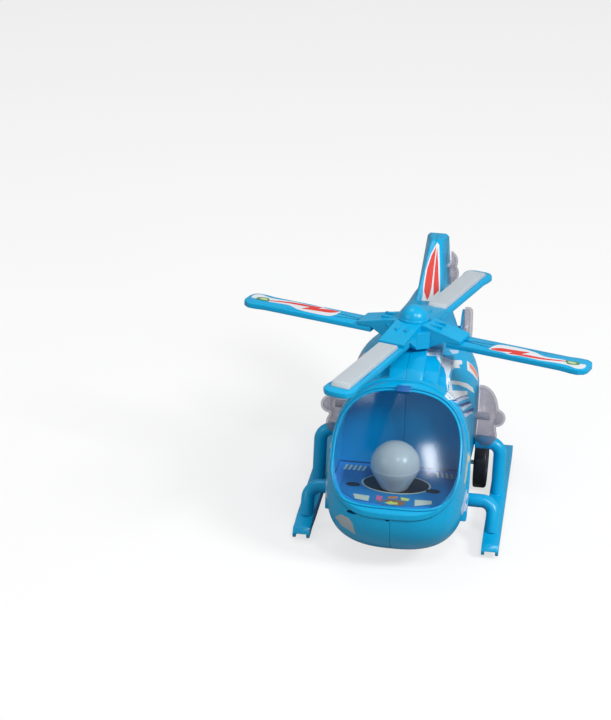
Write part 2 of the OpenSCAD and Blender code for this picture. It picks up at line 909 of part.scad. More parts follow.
module chassis() {
    color("steelblue")
        difference() {
            union() {
                translate([-PLATE_X, PLATE_Y0, BELLY_Z])
                    cube([2 * PLATE_X, PLATE_Y1 - PLATE_Y0, PLATE_T]);
                translate([0, carriage_y, BELLY_Z])
                    cylinder(h = WELL_TOP_Z - BELLY_Z, r = WELL_R, $fn = 96);
                battery_bay();
                for (s = [-1, 1]) {
                    translate([s * 21.5 - 2, rear_axle_y - 5, BELLY_Z + 2])
                        cube([4, 10, REAR_AXLE_Z - BELLY_Z + 2.5]);
                    for (y = [-8, 26])
                        translate([s * 18, y, BOX_TOP_Z])
                            cylinder(h = 13.4, r = 2.4, $fn = 32);
                }
                translate([-6.5, 55.5, BELLY_Z + 2])
                    cube([13, 4.5, 16]);
            }
            translate([0, carriage_y, 0])
                cylinder(h = 60, r = DRUM_R + run_play, $fn = 96);
            translate([-BOX_HALF_X, BOX_Y - BOX_HALF_Y, 0])
                cube([2 * BOX_HALF_X, 2 * BOX_HALF_Y, 12]);
            rod_x(-30, 30, rear_axle_y, REAR_AXLE_Z, AXLE_R + run_play);
            translate([SWITCH_POS[0] - 4.5, SWITCH_POS[1] - 2, 0])
                cube([9, 4, 20]);
            translate([SPEAKER_POS[0], SPEAKER_POS[1], 0])
                speaker_holes();
            translate([0, BOX_Y + BOX_HALF_Y + 3.5, 0])
                cylinder(h = 11.5, r = 1.35, $fn = 24);
            for (s = [-1, 1])
                translate([s * FRONT_SCREW[0], FRONT_SCREW[1], 0])
                    cylinder(h = 14, r = 1.35, $fn = 24);
            translate([0, REAR_SCREW_Y, 0])
                cylinder(h = 24, r = 1.35, $fn = 24);
        }
}

module rear_axle() {
    color(STEEL)
        rod_x(-WHEEL_OUT_X + 1, WHEEL_OUT_X - 1, rear_axle_y, REAR_AXLE_Z, AXLE_R);
}

// Dished wheel with five spokes, its outer face at WHEEL_OUT_X.
module rear_wheel(s) {
    color("black")
        translate([s * (WHEEL_OUT_X - rear_wheel_w), rear_axle_y, REAR_AXLE_Z])
            rotate([0, s * 90, 0])
                difference() {
                    rotate_extrude($fn = 96)
                        polygon([[AXLE_R, 0], [5, 0], [5, 2], [12.5, 2], [12.5, 0.3],
                            [rear_wheel_r - 0.8, 0], [rear_wheel_r, 0.8],
                            [rear_wheel_r, rear_wheel_w - 1.2], [rear_wheel_r - 1.2, rear_wheel_w],
                            [12.5, rear_wheel_w], [11.8, rear_wheel_w - 3], [4.6, rear_wheel_w - 3],
                            [4, rear_wheel_w], [AXLE_R, rear_wheel_w]]);
                    for (a = [0:72:288])
                        rotate([0, 0, a])
                            translate([8.3, 0, -1])
                                cylinder(h = 20, r = 2.3, $fn = 32);
                }
}

module rear_wheel_left() { rear_wheel(1); }

module rear_wheel_right() { rear_wheel(-1); }

// ---------- drive carriage ----------

function axle_pos() = [carriage_y, drive_wheel_r];
function drive_dist(a, b) = (a + b) / 2 * gear_m + 0.08;
DIST_LOW = drive_dist(AXLE_GEAR_N, DRIVE_IDLER_N);
DIST_HIGH = drive_dist(DRIVE_IDLER_N, PINION_N);
DRIVE_RISE = DRIVE_MOTOR_Z - drive_wheel_r;
LOW_LEAN = acos((DIST_LOW * DIST_LOW + DRIVE_RISE * DRIVE_RISE - DIST_HIGH * DIST_HIGH)
    / (2 * DIST_LOW * DRIVE_RISE));
IDLER_POS = axle_pos() + DIST_LOW * [sin(LOW_LEAN), cos(LOW_LEAN)];
LOW_DIR = 90 - LOW_LEAN;
HIGH_DIR = atan2(DRIVE_MOTOR_Z - IDLER_POS[1], carriage_y - IDLER_POS[0]);
IDLER_PHASE = LOW_DIR + 180 + 180 / DRIVE_IDLER_N;
IDLER_LEAD = IDLER_PHASE - HIGH_DIR;
DRIVE_PINION_PHASE = HIGH_DIR + 180 - IDLER_LEAD * DRIVE_IDLER_N / PINION_N + 180 / PINION_N;

module at_yz(p, x0) {
    translate([x0, p[0], p[1]])
        rotate([90, 0, 90])
            children();
}

module carriage_drum() {
    color("dimgray")
        difference() {
            union() {
                translate([0, carriage_y, DRUM_LOW_Z])
                    difference() {
                        cylinder(h = DRUM_TOP_Z - DRUM_LOW_Z, r = DRUM_R, $fn = 96);
                        translate([0, 0, 3])
                            cylinder(h = 40, r = DRUM_R - 2, $fn = 96);
                    }
                for (x = [-20.5, -4.5, 2.5, 18.5])
                    translate([x, carriage_y - 4, DRUM_LOW_Z + 2])
                        cube([2, 8, drive_wheel_r - DRUM_LOW_Z + 1.5]);
                translate([18.5, carriage_y - 3, DRUM_LOW_Z + 2])
                    cube([2, 10, 19]);
                for (s = [-1, 1])
                    translate([s * 11.4 - 1, carriage_y + 10.3, DRUM_LOW_Z + 2])
                        cube([2, 3, 22]);
            }
            for (s = [-1, 1])
                translate([s * 9 - 3.6, carriage_y - 11, 0])
                    cube([7.2, 22, 9.6]);
            translate([GEAR_X - 0.6, carriage_y - 10, 0])
                cube([GEAR_W + 1.2, 20, 9.6]);
            rod_x(-21, 21.2, carriage_y, drive_wheel_r, AXLE_R + run_play);
            rod_x(15, 21, IDLER_POS[0], IDLER_POS[1], PIN_R);
        }
}

module carriage_lid() {
    color("dimgray")
        translate([0, carriage_y, DRUM_TOP_Z + 0.02]) {
            cylinder(h = 2, r = DRUM_R - 0.2, $fn = 96);
            cylinder(h = WELL_TOP_Z - DRUM_TOP_Z + 2, r = PIVOT_R, $fn = 64);
        }
}

module carriage_well_cap() {
    color("steelblue")
        translate([0, carriage_y, WELL_TOP_Z + 0.05])
            difference() {
                cylinder(h = 2, r = WELL_R, $fn = 96);
                translate([0, 0, -1])
                    cylinder(h = 4, r = PIVOT_R + run_play, $fn = 64);
                for (x = [10, 15])
                    translate([x - 1, -1.2, -1])
                        cube([2, 2.4, 4]);
            }
}

module slip_rings() {
    color("goldenrod")
        translate([0, carriage_y, DRUM_TOP_Z + 2.04])
            for (r = [10, 15])
                difference() {
                    cylinder(h = 0.4, r = r + 1.5, $fn = 64);
                    translate([0, 0, -1])
                        cylinder(h = 3, r = r - 1.5, $fn = 64);
                }
}

module ring_brushes() {
    color("goldenrod")
        for (x = [10, 15])
            translate([x - 0.8, carriage_y - 1, DRUM_TOP_Z + 2.5])
                cube([1.6, 2, 5]);
}

module drive_motor() {
    color(STEEL)
        translate([-12.6, carriage_y, DRIVE_MOTOR_Z])
            rotate([90, 0, 90])
                can_motor();
}

module drive_motor_shaft() {
    color("gold")
        at_yz([carriage_y, DRIVE_MOTOR_Z], -12.6)
            shaft_and_pinion(DRIVE_PINION_PHASE, MOTOR_LEN + 1.7);
}

module drive_idler() {
    color("white")
        at_yz(IDLER_POS, GEAR_X)
            difference() {
                gear(DRIVE_IDLER_N, GEAR_W, IDLER_PHASE);
                translate([0, 0, -1])
                    cylinder(h = 9, r = PIN_R + run_play, $fn = 48);
            }
}

module drive_idler_pin() {
    color(STEEL)
        rod_x(GEAR_X - 0.4, 20.4, IDLER_POS[0], IDLER_POS[1], PIN_R);
}

// Axle with the gear that the idler turns.
module drive_axle() {
    color("silver") {
        rod_x(-20.8, 21, carriage_y, drive_wheel_r, AXLE_R);
        at_yz(axle_pos(), GEAR_X)
            gear(AXLE_GEAR_N, GEAR_W, LOW_DIR);
    }
}

module drive_wheels() {
    color("white")
        for (x = [-12, 6])
            at_yz(axle_pos(), x)
                tube(6, 7.4, AXLE_R);
}

module drive_tyres() {
    color("black")
        for (x = [-12, 6])
            at_yz(axle_pos(), x)
                rotate_extrude($fn = 72)
                    polygon([[7.4, 0], [9.4, 0], [drive_wheel_r, 0.8], [drive_wheel_r, 5.2],
                        [9.4, 6], [7.4, 6]]);
}

// ---------- battery, electrics and fasteners ----------

module battery_door() {
    color("steelblue")
        difference() {
            union() {
                translate([-BOX_HALF_X + fixed_gap, BOX_Y - BOX_HALF_Y + fixed_gap, BELLY_Z])
                    cube([2 * (BOX_HALF_X - fixed_gap), 2 * (BOX_HALF_Y - fixed_gap), 1.8]);
                translate([-5, BOX_Y + BOX_HALF_Y - 2, BELLY_Z - 1.2])
                    cube([10, 8, 1.1]);
                translate([-5, BOX_Y + BOX_HALF_Y - 2, BELLY_Z - 1.2])
                    cube([10, 1.5, 1.5]);
                for (i = [-3:3])
                    translate([i * 3 - 0.6, BOX_Y - 19, BELLY_Z - 0.5])
                        cube([1.2, 9, 0.6]);
            }
            translate([0, BOX_Y + BOX_HALF_Y + 3.5, 0])
                cylinder(h = 20, r = 1.35, $fn = 24);
        }
}

module door_screw() {
    color(STEEL)
        translate([0, BOX_Y + BOX_HALF_Y + 3.5, BELLY_Z - 2.65])
            screw(6);
}

module batteries() {
    for (i = [-1:1])
        let (s = i == 0 ? -1 : 1)
            translate([i * CELL_PITCH, BOX_Y, BELLY_Z + 2.4 + CELL_R])
                rotate([s * 90, 0, 0]) {
                    color("gold")
                        translate([0, 0, -CELL_LEN / 2])
                            cylinder(h = CELL_LEN - 1.4, r = CELL_R, $fn = 48);
                    color(STEEL)
                        translate([0, 0, CELL_LEN / 2 - 1.5])
                            cylinder(h = 1.5, r = 2.7, $fn = 32);
                }
}

module circuit_board() {
    color("seagreen")
        difference() {
            union() {
                translate([-22, -12, 40])
                    cube([44, 42, 1.6]);
                translate([-8, 0, 41.5])
                    cube([10, 8, 2.4]);
                for (x = [8, 14])
                    translate([x, 6, 41.5])
                        cylinder(h = 7, r = 2.5, $fn = 32);
            }
            for (s = [-1, 1], y = [-8, 26])
                translate([s * 18, y, 30])
                    cylinder(h = 20, r = 1.2, $fn = 24);
        }
}

module speaker() {
    color("black")
        translate([SPEAKER_POS[0], SPEAKER_POS[1], BELLY_Z + PLATE_T + 0.05])
            difference() {
                union() {
                    cylinder(h = 2.4, r = SPEAKER_R, $fn = 64);
                    translate([0, 0, 2.3])
                        cylinder(h = 0.9, r = SPEAKER_R - 2.5, $fn = 48);
                }
                translate([0, 0, -1])
                    cylinder(h = 2.2, r = SPEAKER_R - 1.2, $fn = 48);
            }
}

// Slide switch: its body sits on the plate and its knob reaches through the slot.
module power_switch() {
    color("black")
        translate([SWITCH_POS[0] - 4.2, SWITCH_POS[1] - 1.7, BELLY_Z - 1.8])
            difference() {
                union() {
                    cube([3.4, 3.4, 9]);
                    translate([-2, -1, 4.8])
                        cube([7.4, 5.4, 3]);
                }
                for (i = [0:2])
                    translate([0.5 + i, -1, -0.5])
                        cube([0.4, 6, 0.9]);
            }
}

module body_screws() {
    color(STEEL) {
        for (s = [-1, 1])
            translate([s * FRONT_SCREW[0], FRONT_SCREW[1], BELLY_Z - 1.45])
                screw(8);
        translate([0, REAR_SCREW_Y, BELLY_Z - 1.45])
            screw(14);
    }
}

// Puts the origin below the middle of the overall box.
module in_frame() {
    translate([0, -mast_ahead, 0])
        children();
}

in_frame() fuselage_left();
in_frame() fuselage_right();
in_frame() chassis();
in_frame() window_bezel();
in_frame() windscreen();
in_frame() window_catch();
in_frame() cockpit_floor();
in_frame() instrument_sheet();
in_frame() pilot_lamp();
in_frame() lamp_led();
in_frame() engine_pod_left();
in_frame() engine_pod_right();
in_frame() pod_leds();
in_frame() tail_disc();
in_frame() tail_disc_base();
in_frame() fin_lens();
in_frame() tail_leds();
in_frame() skid_left();
in_frame() skid_right();
in_frame() rotor_hub();
in_frame() hub_cap();
in_frame() rotor_mast();
in_frame() mast_gear();
in_frame() mast_bush();
in_frame() blade_left();
in_frame() blade_right();
in_frame() blade_front();
in_frame() blade_rear();
in_frame() blade_lens_front();
in_frame() blade_lens_rear();
in_frame() blade_leds();
in_frame() blade_screws();
in_frame() gearbox_base();
in_frame() gearbox_cover();
in_frame() rotor_idler();
in_frame() idler_pin();
in_frame() rotor_motor();
in_frame() rotor_motor_shaft();
in_frame() rear_axle();
in_frame() rear_wheel_left();
in_frame() rear_wheel_right();
in_frame() carriage_drum();
in_frame() carriage_lid();
in_frame() carriage_well_cap();
in_frame() slip_rings();
in_frame() ring_brushes();
in_frame() drive_motor();
in_frame() drive_motor_shaft();
in_frame() drive_idler();
in_frame() drive_idler_pin();
in_frame() drive_axle();
in_frame() drive_wheels();
in_frame() drive_tyres();
in_frame() battery_door();
in_frame() door_screw();
in_frame() batteries();
in_frame() circuit_board();
in_frame() speaker();
in_frame() power_switch();
in_frame() body_screws();
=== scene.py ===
"""Looks of the toy helicopter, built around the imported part.

Shapes are worked out in millimetres in the part's own frame (+Z up, nose towards -Y, +X the
helicopter's left) and scaled to metres when a piece is handed to its body.
"""

import math
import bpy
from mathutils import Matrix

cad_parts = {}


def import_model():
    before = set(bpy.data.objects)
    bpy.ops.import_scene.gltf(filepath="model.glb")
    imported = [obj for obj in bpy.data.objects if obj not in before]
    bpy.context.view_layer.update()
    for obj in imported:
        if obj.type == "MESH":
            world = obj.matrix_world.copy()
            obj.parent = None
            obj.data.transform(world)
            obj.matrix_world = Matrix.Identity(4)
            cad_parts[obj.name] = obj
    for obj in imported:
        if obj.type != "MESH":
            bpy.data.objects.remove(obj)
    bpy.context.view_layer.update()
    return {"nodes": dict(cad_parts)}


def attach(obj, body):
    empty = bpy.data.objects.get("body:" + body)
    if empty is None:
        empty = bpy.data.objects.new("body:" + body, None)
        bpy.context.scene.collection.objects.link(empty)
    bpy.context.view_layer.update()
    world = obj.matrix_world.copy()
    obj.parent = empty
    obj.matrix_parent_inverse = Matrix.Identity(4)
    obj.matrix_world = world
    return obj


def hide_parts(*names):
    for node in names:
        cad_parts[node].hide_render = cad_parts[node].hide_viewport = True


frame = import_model()

import bmesh
import bpy
from mathutils import Matrix, Vector
from mathutils.bvhtree import BVHTree

MM = 0.001
# The part's origin lies this far behind the mast, and shapes here are drawn about the mast.
MAST_AHEAD = 31.8
ROTOR_PARK = -17.3
PLAIN_DROP = 2
BLADE_TOP = 132.5
WALL = 2.2
HOOP_Y = -54
NOSE_LEN = 47
FLOOR_Z = 47
WINDOW_FOOT = Vector((0, -97, 49))
WINDOW_TILT = math.radians(48)
WINDOW_HALF_W = 39
WINDOW_LEN = 76
SCREEN_R = 140
SCREEN_RISE = 9
SCREEN_T = 1.2
BIG = 400

# Body stations behind the hoop: y, half width, height of the widest line, bottom, top,
# and the exponents of the lower and upper outline.
STATIONS = [
    (-54, 44, 48, 8, 109.5, 2.6, 3.1), (-40, 43.5, 50, 8, 111.5, 3.2, 2.6),
    (-20, 42.5, 55, 8, 113, 4, 2.1), (0, 42, 60, 8, 113.5, 4, 2),
    (20, 42.5, 66, 8, 113, 4, 2.1), (40, 43, 70, 8, 110, 4, 2.4),
    (58, 41, 70, 10, 107, 3.6, 2.8), (74, 34, 68, 17, 105, 3, 3.4),
    (90, 27.5, 68, 27, 105, 2.6, 4), (108, 22.5, 72, 40, 106, 2.4, 4),
    (128, 18, 80, 54, 106, 2.4, 3.4), (150, 14, 88, 68, 106, 2.2, 3),
    (170, 9, 93, 79, 105, 2, 2.6),
]

# ---------------------------------------------------------------- materials


def shader(name):
    mat = bpy.data.materials.new(name)
    mat.use_nodes = True
    tree = mat.node_tree
    tree.nodes.clear()
    out = tree.nodes.new("ShaderNodeOutputMaterial")
    return mat, tree, out


def node(tree, kind, **values):
    n = tree.nodes.new(kind)
    for key, value in values.items():
        if key in n.inputs:
            n.inputs[key].default_value = value
        else:
            setattr(n, key, value)
    return n


def noise(tree, scale, detail=2.0, rough=0.5):
    coords = node(tree, "ShaderNodeTexCoord")
    n = node(tree, "ShaderNodeTexNoise", Scale=scale, Detail=detail, Roughness=rough)
    tree.links.new(coords.outputs["Object"], n.inputs["Vector"])
    return n.outputs["Fac"]


def ramp(tree, source, low, high, a=0.3, b=0.7):
    r = node(tree, "ShaderNodeValToRGB")
    r.color_ramp.elements[0].position, r.color_ramp.elements[0].color = a, low
    r.color_ramp.elements[1].position, r.color_ramp.elements[1].color = b, high
    tree.links.new(source, r.inputs["Fac"])
    return r.outputs["Color"]


def grey(v):
    return (v, v, v, 1)


def surface(name, color, rough=0.25, metal=0.0, vary=0.05, bump=0.008, grain=2600.0,
            edge=0.0, coat=0.0, scatter=0.0, spec=0.35, alpha=1.0):
    """Procedural finish: slow colour drift, fine grain in the gloss and the height, softened edges."""
    mat, tree, out = shader(name)
    bsdf = node(tree, "ShaderNodeBsdfPrincipled", Metallic=metal)
    bsdf.inputs["Specular IOR Level"].default_value = spec
    bsdf.inputs["Coat Weight"].default_value = coat
    bsdf.inputs["Coat Roughness"].default_value = 0.08
    bsdf.inputs["Subsurface Weight"].default_value = scatter
    bsdf.inputs["Subsurface Radius"].default_value = (1, 0.9, 0.85)
    bsdf.inputs["Subsurface Scale"].default_value = 0.004
    low = tuple(c * (1 - vary) for c in color) + (1,)
    high = tuple(min(1, c * (1 + vary)) for c in color) + (1,)
    tree.links.new(ramp(tree, noise(tree, 28, 3), low, high), bsdf.inputs["Base Color"])
    fine = noise(tree, grain, 3, 0.6)
    tree.links.new(ramp(tree, fine, grey(rough * 0.85), grey(min(1, rough * 1.2))),
                   bsdf.inputs["Roughness"])
    height = node(tree, "ShaderNodeBump", Strength=bump, Distance=0.0004)
    tree.links.new(fine, height.inputs["Height"])
    if edge:
        soft = node(tree, "ShaderNodeBevel", Radius=edge * MM, samples=4)
        tree.links.new(soft.outputs["Normal"], height.inputs["Normal"])
    tree.links.new(height.outputs["Normal"], bsdf.inputs["Normal"])
    result = bsdf.outputs["BSDF"]
    if alpha < 1:
        clear = node(tree, "ShaderNodeBsdfTransparent")
        clear.inputs["Color"].default_value = tuple(0.5 + 0.5 * c for c in color) + (1,)
        mix = node(tree, "ShaderNodeMixShader")
        rim = node(tree, "ShaderNodeLayerWeight", Blend=0.35)
        scale = node(tree, "ShaderNodeMapRange")
        scale.inputs["To Min"].default_value = alpha
        scale.inputs["To Max"].default_value = min(1, alpha + 0.45)
        tree.links.new(rim.outputs["Facing"], scale.inputs["Value"])
        tree.links.new(scale.outputs["Result"], mix.inputs["Fac"])
        tree.links.new(clear.outputs["BSDF"], mix.inputs[1])
        tree.links.new(result, mix.inputs[2])
        result = mix.outputs["Shader"]
    tree.links.new(result, out.inputs["Surface"])
    return mat


def clear_screen(name):
    """Thin clear pane: tinted see-through with a polished skin and faint hazing."""
    mat, tree, out = shader(name)
    clear = node(tree, "ShaderNodeBsdfTransparent")
    tree.links.new(ramp(tree, noise(tree, 20, 2), (0.86, 0.94, 0.98, 1), (0.90, 0.96, 1, 1)),
                   clear.inputs["Color"])
    gloss = node(tree, "ShaderNodeBsdfGlossy", Roughness=0.16)
    gloss.inputs["Color"].default_value = (0.95, 0.98, 1, 1)
    fresnel = node(tree, "ShaderNodeFresnel", IOR=1.5)
    side = node(tree, "ShaderNodeNewGeometry")
    outer = node(tree, "ShaderNodeMath", operation="SUBTRACT")
    outer.inputs[0].default_value = 1.0
    tree.links.new(side.outputs["Backfacing"], outer.inputs[1])
    scale = node(tree, "ShaderNodeMath", operation="MULTIPLY")
    tree.links.new(outer.outputs["Value"], scale.inputs[1])
    haze = node(tree, "ShaderNodeBump", Strength=0.015, Distance=0.0005)
    tree.links.new(noise(tree, 60, 3), haze.inputs["Height"])
    tree.links.new(haze.outputs["Normal"], gloss.inputs["Normal"])
    tree.links.new(fresnel.outputs["Fac"], scale.inputs[0])
    mix = node(tree, "ShaderNodeMixShader")
    tree.links.new(scale.outputs["Value"], mix.inputs["Fac"])
    tree.links.new(clear.outputs["BSDF"], mix.inputs[1])
    tree.links.new(gloss.outputs["BSDF"], mix.inputs[2])
    tree.links.new(mix.outputs["Shader"], out.inputs["Surface"])
    return mat


def studio_white():
    """Pale floor that looks nearly white but throws little light back up."""
    mat, tree, out = shader("studio_white")
    seen = node(tree, "ShaderNodeLightPath")
    bounce = node(tree, "ShaderNodeBsdfDiffuse", Roughness=0.5)
    bounce.inputs["Color"].default_value = grey(0.40)
    pale = node(tree, "ShaderNodeBsdfDiffuse", Roughness=0.5)
    tree.links.new(ramp(tree, noise(tree, 6, 2), grey(0.86), grey(0.88)), pale.inputs["Color"])
    glow = node(tree, "ShaderNodeEmission", Strength=1.0)
    lift = node(tree, "ShaderNodeMixShader", Fac=0.7)
    tree.links.new(pale.outputs["BSDF"], lift.inputs[1])
    tree.links.new(glow.outputs["Emission"], lift.inputs[2])
    mix = node(tree, "ShaderNodeMixShader")
    tree.links.new(seen.outputs["Is Camera Ray"], mix.inputs["Fac"])
    tree.links.new(bounce.outputs["BSDF"], mix.inputs[1])
    tree.links.new(lift.outputs["Shader"], mix.inputs[2])
    tree.links.new(mix.outputs["Shader"], out.inputs["Surface"])
    return mat


MATS = {
    "body_blue": surface("body_blue", (0.0, 0.385, 0.70), 0.27, edge=0.7, coat=0.06, scatter=0.05),
    # Body blue darkened as painted shade, for the window catch that sits in shade.
    "deep_blue": surface("deep_blue", (0.012, 0.13, 0.42), 0.3, edge=0.4, coat=0.1),
    "floor_blue": surface("floor_blue", (0.03, 0.30, 0.68), 0.32),
    "clear_screen": clear_screen("clear_screen"),
    "lilac_clear": surface("lilac_clear", (0.62, 0.60, 0.66), 0.10, vary=0.4, coat=0.8, bump=0.5,
                           grain=230, alpha=0.10),
    "led_clear": surface("led_clear", (0.80, 0.76, 0.76), 0.15, coat=0.4),
    "print_sheet": surface("print_sheet", (0.02, 0.21, 0.45), 0.4),
    "milky_white": surface("milky_white", (0.57, 0.55, 0.53), 0.3, vary=0.02, coat=0.2, scatter=0.4),
    "lens_white": surface("lens_white", (0.50, 0.56, 0.60), 0.35, vary=0.02, scatter=0.3),
    "led_amber": surface("led_amber", (0.90, 0.55, 0.10), 0.15, coat=0.4),
    "steel": surface("steel", (0.60, 0.61, 0.63), 0.28, metal=1.0, grain=1500),
    "gear_white": surface("gear_white", (0.80, 0.80, 0.77), 0.42, scatter=0.1),
    "ivory": surface("ivory", (0.72, 0.69, 0.60), 0.45),
    "brass": surface("brass", (0.76, 0.55, 0.22), 0.3, metal=1.0),
    "black_plastic": surface("black_plastic", (0.018, 0.018, 0.022), 0.38, edge=0.3),
    "grey_plastic": surface("grey_plastic", (0.10, 0.105, 0.12), 0.42, edge=0.3),
    "black_rubber": surface("black_rubber", (0.015, 0.015, 0.015), 0.7, bump=0.2, grain=1600),
    "battery_can": surface("battery_can", (0.10, 0.30, 0.14), 0.3, metal=0.4),
    "board_green": surface("board_green", (0.03, 0.22, 0.10), 0.4),
    "film_white": surface("film_white", (0.74, 0.78, 0.82), 0.3, vary=0.03),
    "film_pale": surface("film_pale", (0.50, 0.62, 0.80), 0.3),
    # White film darkened as painted shade, for the white sticker on the shaded chin.
    "film_white_painted_shade": surface("film_white_painted_shade", (0.40, 0.47, 0.50), 0.3),
    "film_red": surface("film_red", (0.72, 0.045, 0.035), 0.3),
    "film_coral": surface("film_coral", (0.80, 0.26, 0.18), 0.3),
    "film_green": surface("film_green", (0.10, 0.26, 0.10), 0.3),
    "film_lime": surface("film_lime", (0.52, 0.66, 0.38), 0.3),
    "film_tan": surface("film_tan", (0.62, 0.60, 0.42), 0.35),
    "film_cream": surface("film_cream", (0.70, 0.66, 0.50), 0.35),
    "film_black": surface("film_black", (0.018, 0.016, 0.018), 0.3),
    # Dark navy film that paints the shade in the slits between the side louvre ribs.
    "film_painted_slit_shade": surface("film_painted_slit_shade", (0.012, 0.05, 0.26), 0.3),
    "film_orange": surface("film_orange", (0.78, 0.24, 0.07), 0.35),
    "film_pink": surface("film_pink", (0.78, 0.16, 0.30), 0.35),
    "film_yellow": surface("film_yellow", (0.80, 0.72, 0.16), 0.35),
    "film_brown": surface("film_brown", (0.34, 0.15, 0.07), 0.35),
}

# ---------------------------------------------------------------- mesh building


def obj(name, verts, faces):
    mesh = bpy.data.meshes.new(name)
    mesh.from_pydata([tuple(v) for v in verts], [], faces)
    o = bpy.data.objects.new(name, mesh)
    bpy.context.scene.collection.objects.link(o)
    tidy(o)
    return o


def tidy(o, outward=True):
    """Welds doubled points; outward also turns every face of a single closed skin outwards."""
    bm = bmesh.new()
    bm.from_mesh(o.data)
    bmesh.ops.remove_doubles(bm, verts=bm.verts, dist=1e-4)
    if outward:
        bmesh.ops.recalc_face_normals(bm, faces=bm.faces)
    bm.to_mesh(o.data)
    bm.free()


def loft(name, rings, tip=None):
    """Closed skin over rings with the same number of points; tip closes the start in a point."""
    n = len(rings[0])
    verts = [p for ring in rings for p in ring]
    faces = [(i * n + k, i * n + (k + 1) % n, (i + 1) * n + (k + 1) % n, (i + 1) * n + k)
             for i in range(len(rings) - 1) for k in range(n)]
    last = (len(rings) - 1) * n
    faces.append(tuple(range(last, last + n)))
    if tip is None:
        faces.append(tuple(reversed(range(n))))
    else:
        verts.append(tip)
        faces += [(len(verts) - 1, (k + 1) % n, k) for k in range(n)]
    return obj(name, verts, faces)


def prism(name, points, low, high, place=lambda x, y, z: (x, y, z)):
    """Outline extruded from low to high; place says which axes the outline lies in."""
    rings = [[place(x, y, z) for x, y in points] for z in (low, high)]
    return loft(name, rings)


def across(name, points, x0, x1):
    return prism(name, points, x0, x1, lambda y, z, x: (x, y, z))


def box(name, low, high):
    return prism(name, [(low[0], low[1]), (high[0], low[1]), (high[0], high[1]), (low[0], high[1])],
                 low[2], high[2])


def circle(r, n=48, cx=0.0, cy=0.0, ry=None):
    return [(cx + r * math.cos(math.tau * k / n), cy + (ry or r) * math.sin(math.tau * k / n))
            for k in range(n)]


def rod_x(name, x0, x1, y, z, r, n=40):
    return across(name, [(y + a, z + b) for a, b in circle(r, n)], x0, x1)


def lathe(name, profile, n=96):
    """Closed profile of (radius, height) turned about Z."""
    verts, faces = [], []
    for k in range(n):
        a = math.tau * k / n
        for r, h in profile:
            verts.append((r * math.cos(a), r * math.sin(a), h))
    m = len(profile)
    for k in range(n):
        for i in range(m):
            j = (i + 1) % m
            faces.append((k * m + i, (k + 1) % n * m + i, (k + 1) % n * m + j, k * m + j))
    return obj(name, verts, faces)


def bake(o):
    """Replaces an object's mesh by what its modifiers make of it."""
    bpy.context.view_layer.update()
    graph = bpy.context.evaluated_depsgraph_get()
    mesh = bpy.data.meshes.new_from_object(o.evaluated_get(graph))
    o.modifiers.clear()
    o.data = mesh
    return o


def drop(o):
    bpy.data.objects.remove(o)


def boolean(a, b, operation):
    mod = a.modifiers.new("cut", "BOOLEAN")
    mod.operation, mod.object, mod.solver = operation, b, "MANIFOLD"
    bake(a)
    drop(b)
    tidy(a, outward=False)
    return a


def bevel(o, width, segments=2, angle=30):
    mod = o.modifiers.new("bevel", "BEVEL")
    mod.width, mod.segments, mod.limit_method = width, segments, "ANGLE"
    mod.angle_limit = math.radians(angle)
    mod.use_clamp_overlap = True
    return bake(o)


def smooth(o, angle=35):
    o.data.polygons.foreach_set("use_smooth", [True] * len(o.data.polygons))
    o.data.set_sharp_from_angle(angle=math.radians(angle))


def melt(o, voxel, passes):
    """Welds overlapping solids into one skin with soft fillets."""
    mod = o.modifiers.new("melt", "REMESH")
    mod.mode, mod.voxel_size, mod.adaptivity = "VOXEL", voxel, 0.0
    mod = o.modifiers.new("soft", "SMOOTH")
    mod.factor, mod.iterations = 0.5, passes
    return bake(o)


def join(name, parts):
    bm = bmesh.new()
    for o in parts:
        bm.from_mesh(o.data)
    mesh = bpy.data.meshes.new(name)
    bm.to_mesh(mesh)
    bm.free()
    for o in parts:
        drop(o)
    o = bpy.data.objects.new(name, mesh)
    bpy.context.scene.collection.objects.link(o)
    return o


def move(o, matrix):
    o.data.transform(matrix)
    return o


def mirrored(o, name):
    twin = bpy.data.objects.new(name, o.data.copy())
    bpy.context.scene.collection.objects.link(twin)
    twin.data.transform(Matrix.Diagonal((-1, 1, 1, 1)))
    twin.data.flip_normals()
    return twin


def place(o, material, body="airframe", slot=None, replaces=(), angle=35):
    """Hands a finished piece, still in millimetres about the mast, to its body."""
    o.data.materials.clear()
    o.data.materials.append(MATS[material])
    o.data.transform(Matrix.Scale(MM, 4) @ Matrix.Translation((0, -MAST_AHEAD, 0)))
    smooth(o, angle)
    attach(o, body)
    slot or material
    if replaces:
        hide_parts(*replaces)
    return o


# ---------------------------------------------------------------- body surface


def between(y):
    """Station values at y, with smooth slopes from one station to the next."""
    rows = STATIONS
    i = max(k for k in range(len(rows) - 1) if rows[k][0] <= y or k == 0)
    a, b = rows[i], rows[i + 1]
    step = b[0] - a[0]
    t = (y - a[0]) / step

    def slope(k, c):
        if k == 0:
            return 0.0
        if k == len(rows) - 1:
            return (rows[k][c] - rows[k - 1][c]) / (rows[k][0] - rows[k - 1][0])
        return (rows[k + 1][c] - rows[k - 1][c]) / (rows[k + 1][0] - rows[k - 1][0])

    values = []
    for c in range(1, 7):
        h00, h10 = 2 * t**3 - 3 * t**2 + 1, t**3 - 2 * t**2 + t
        h01, h11 = 3 * t**2 - 2 * t**3, t**3 - t**2
        values.append(h00 * a[c] + h10 * step * slope(i, c) + h01 * b[c] + h11 * step * slope(i + 1, c))
    return values


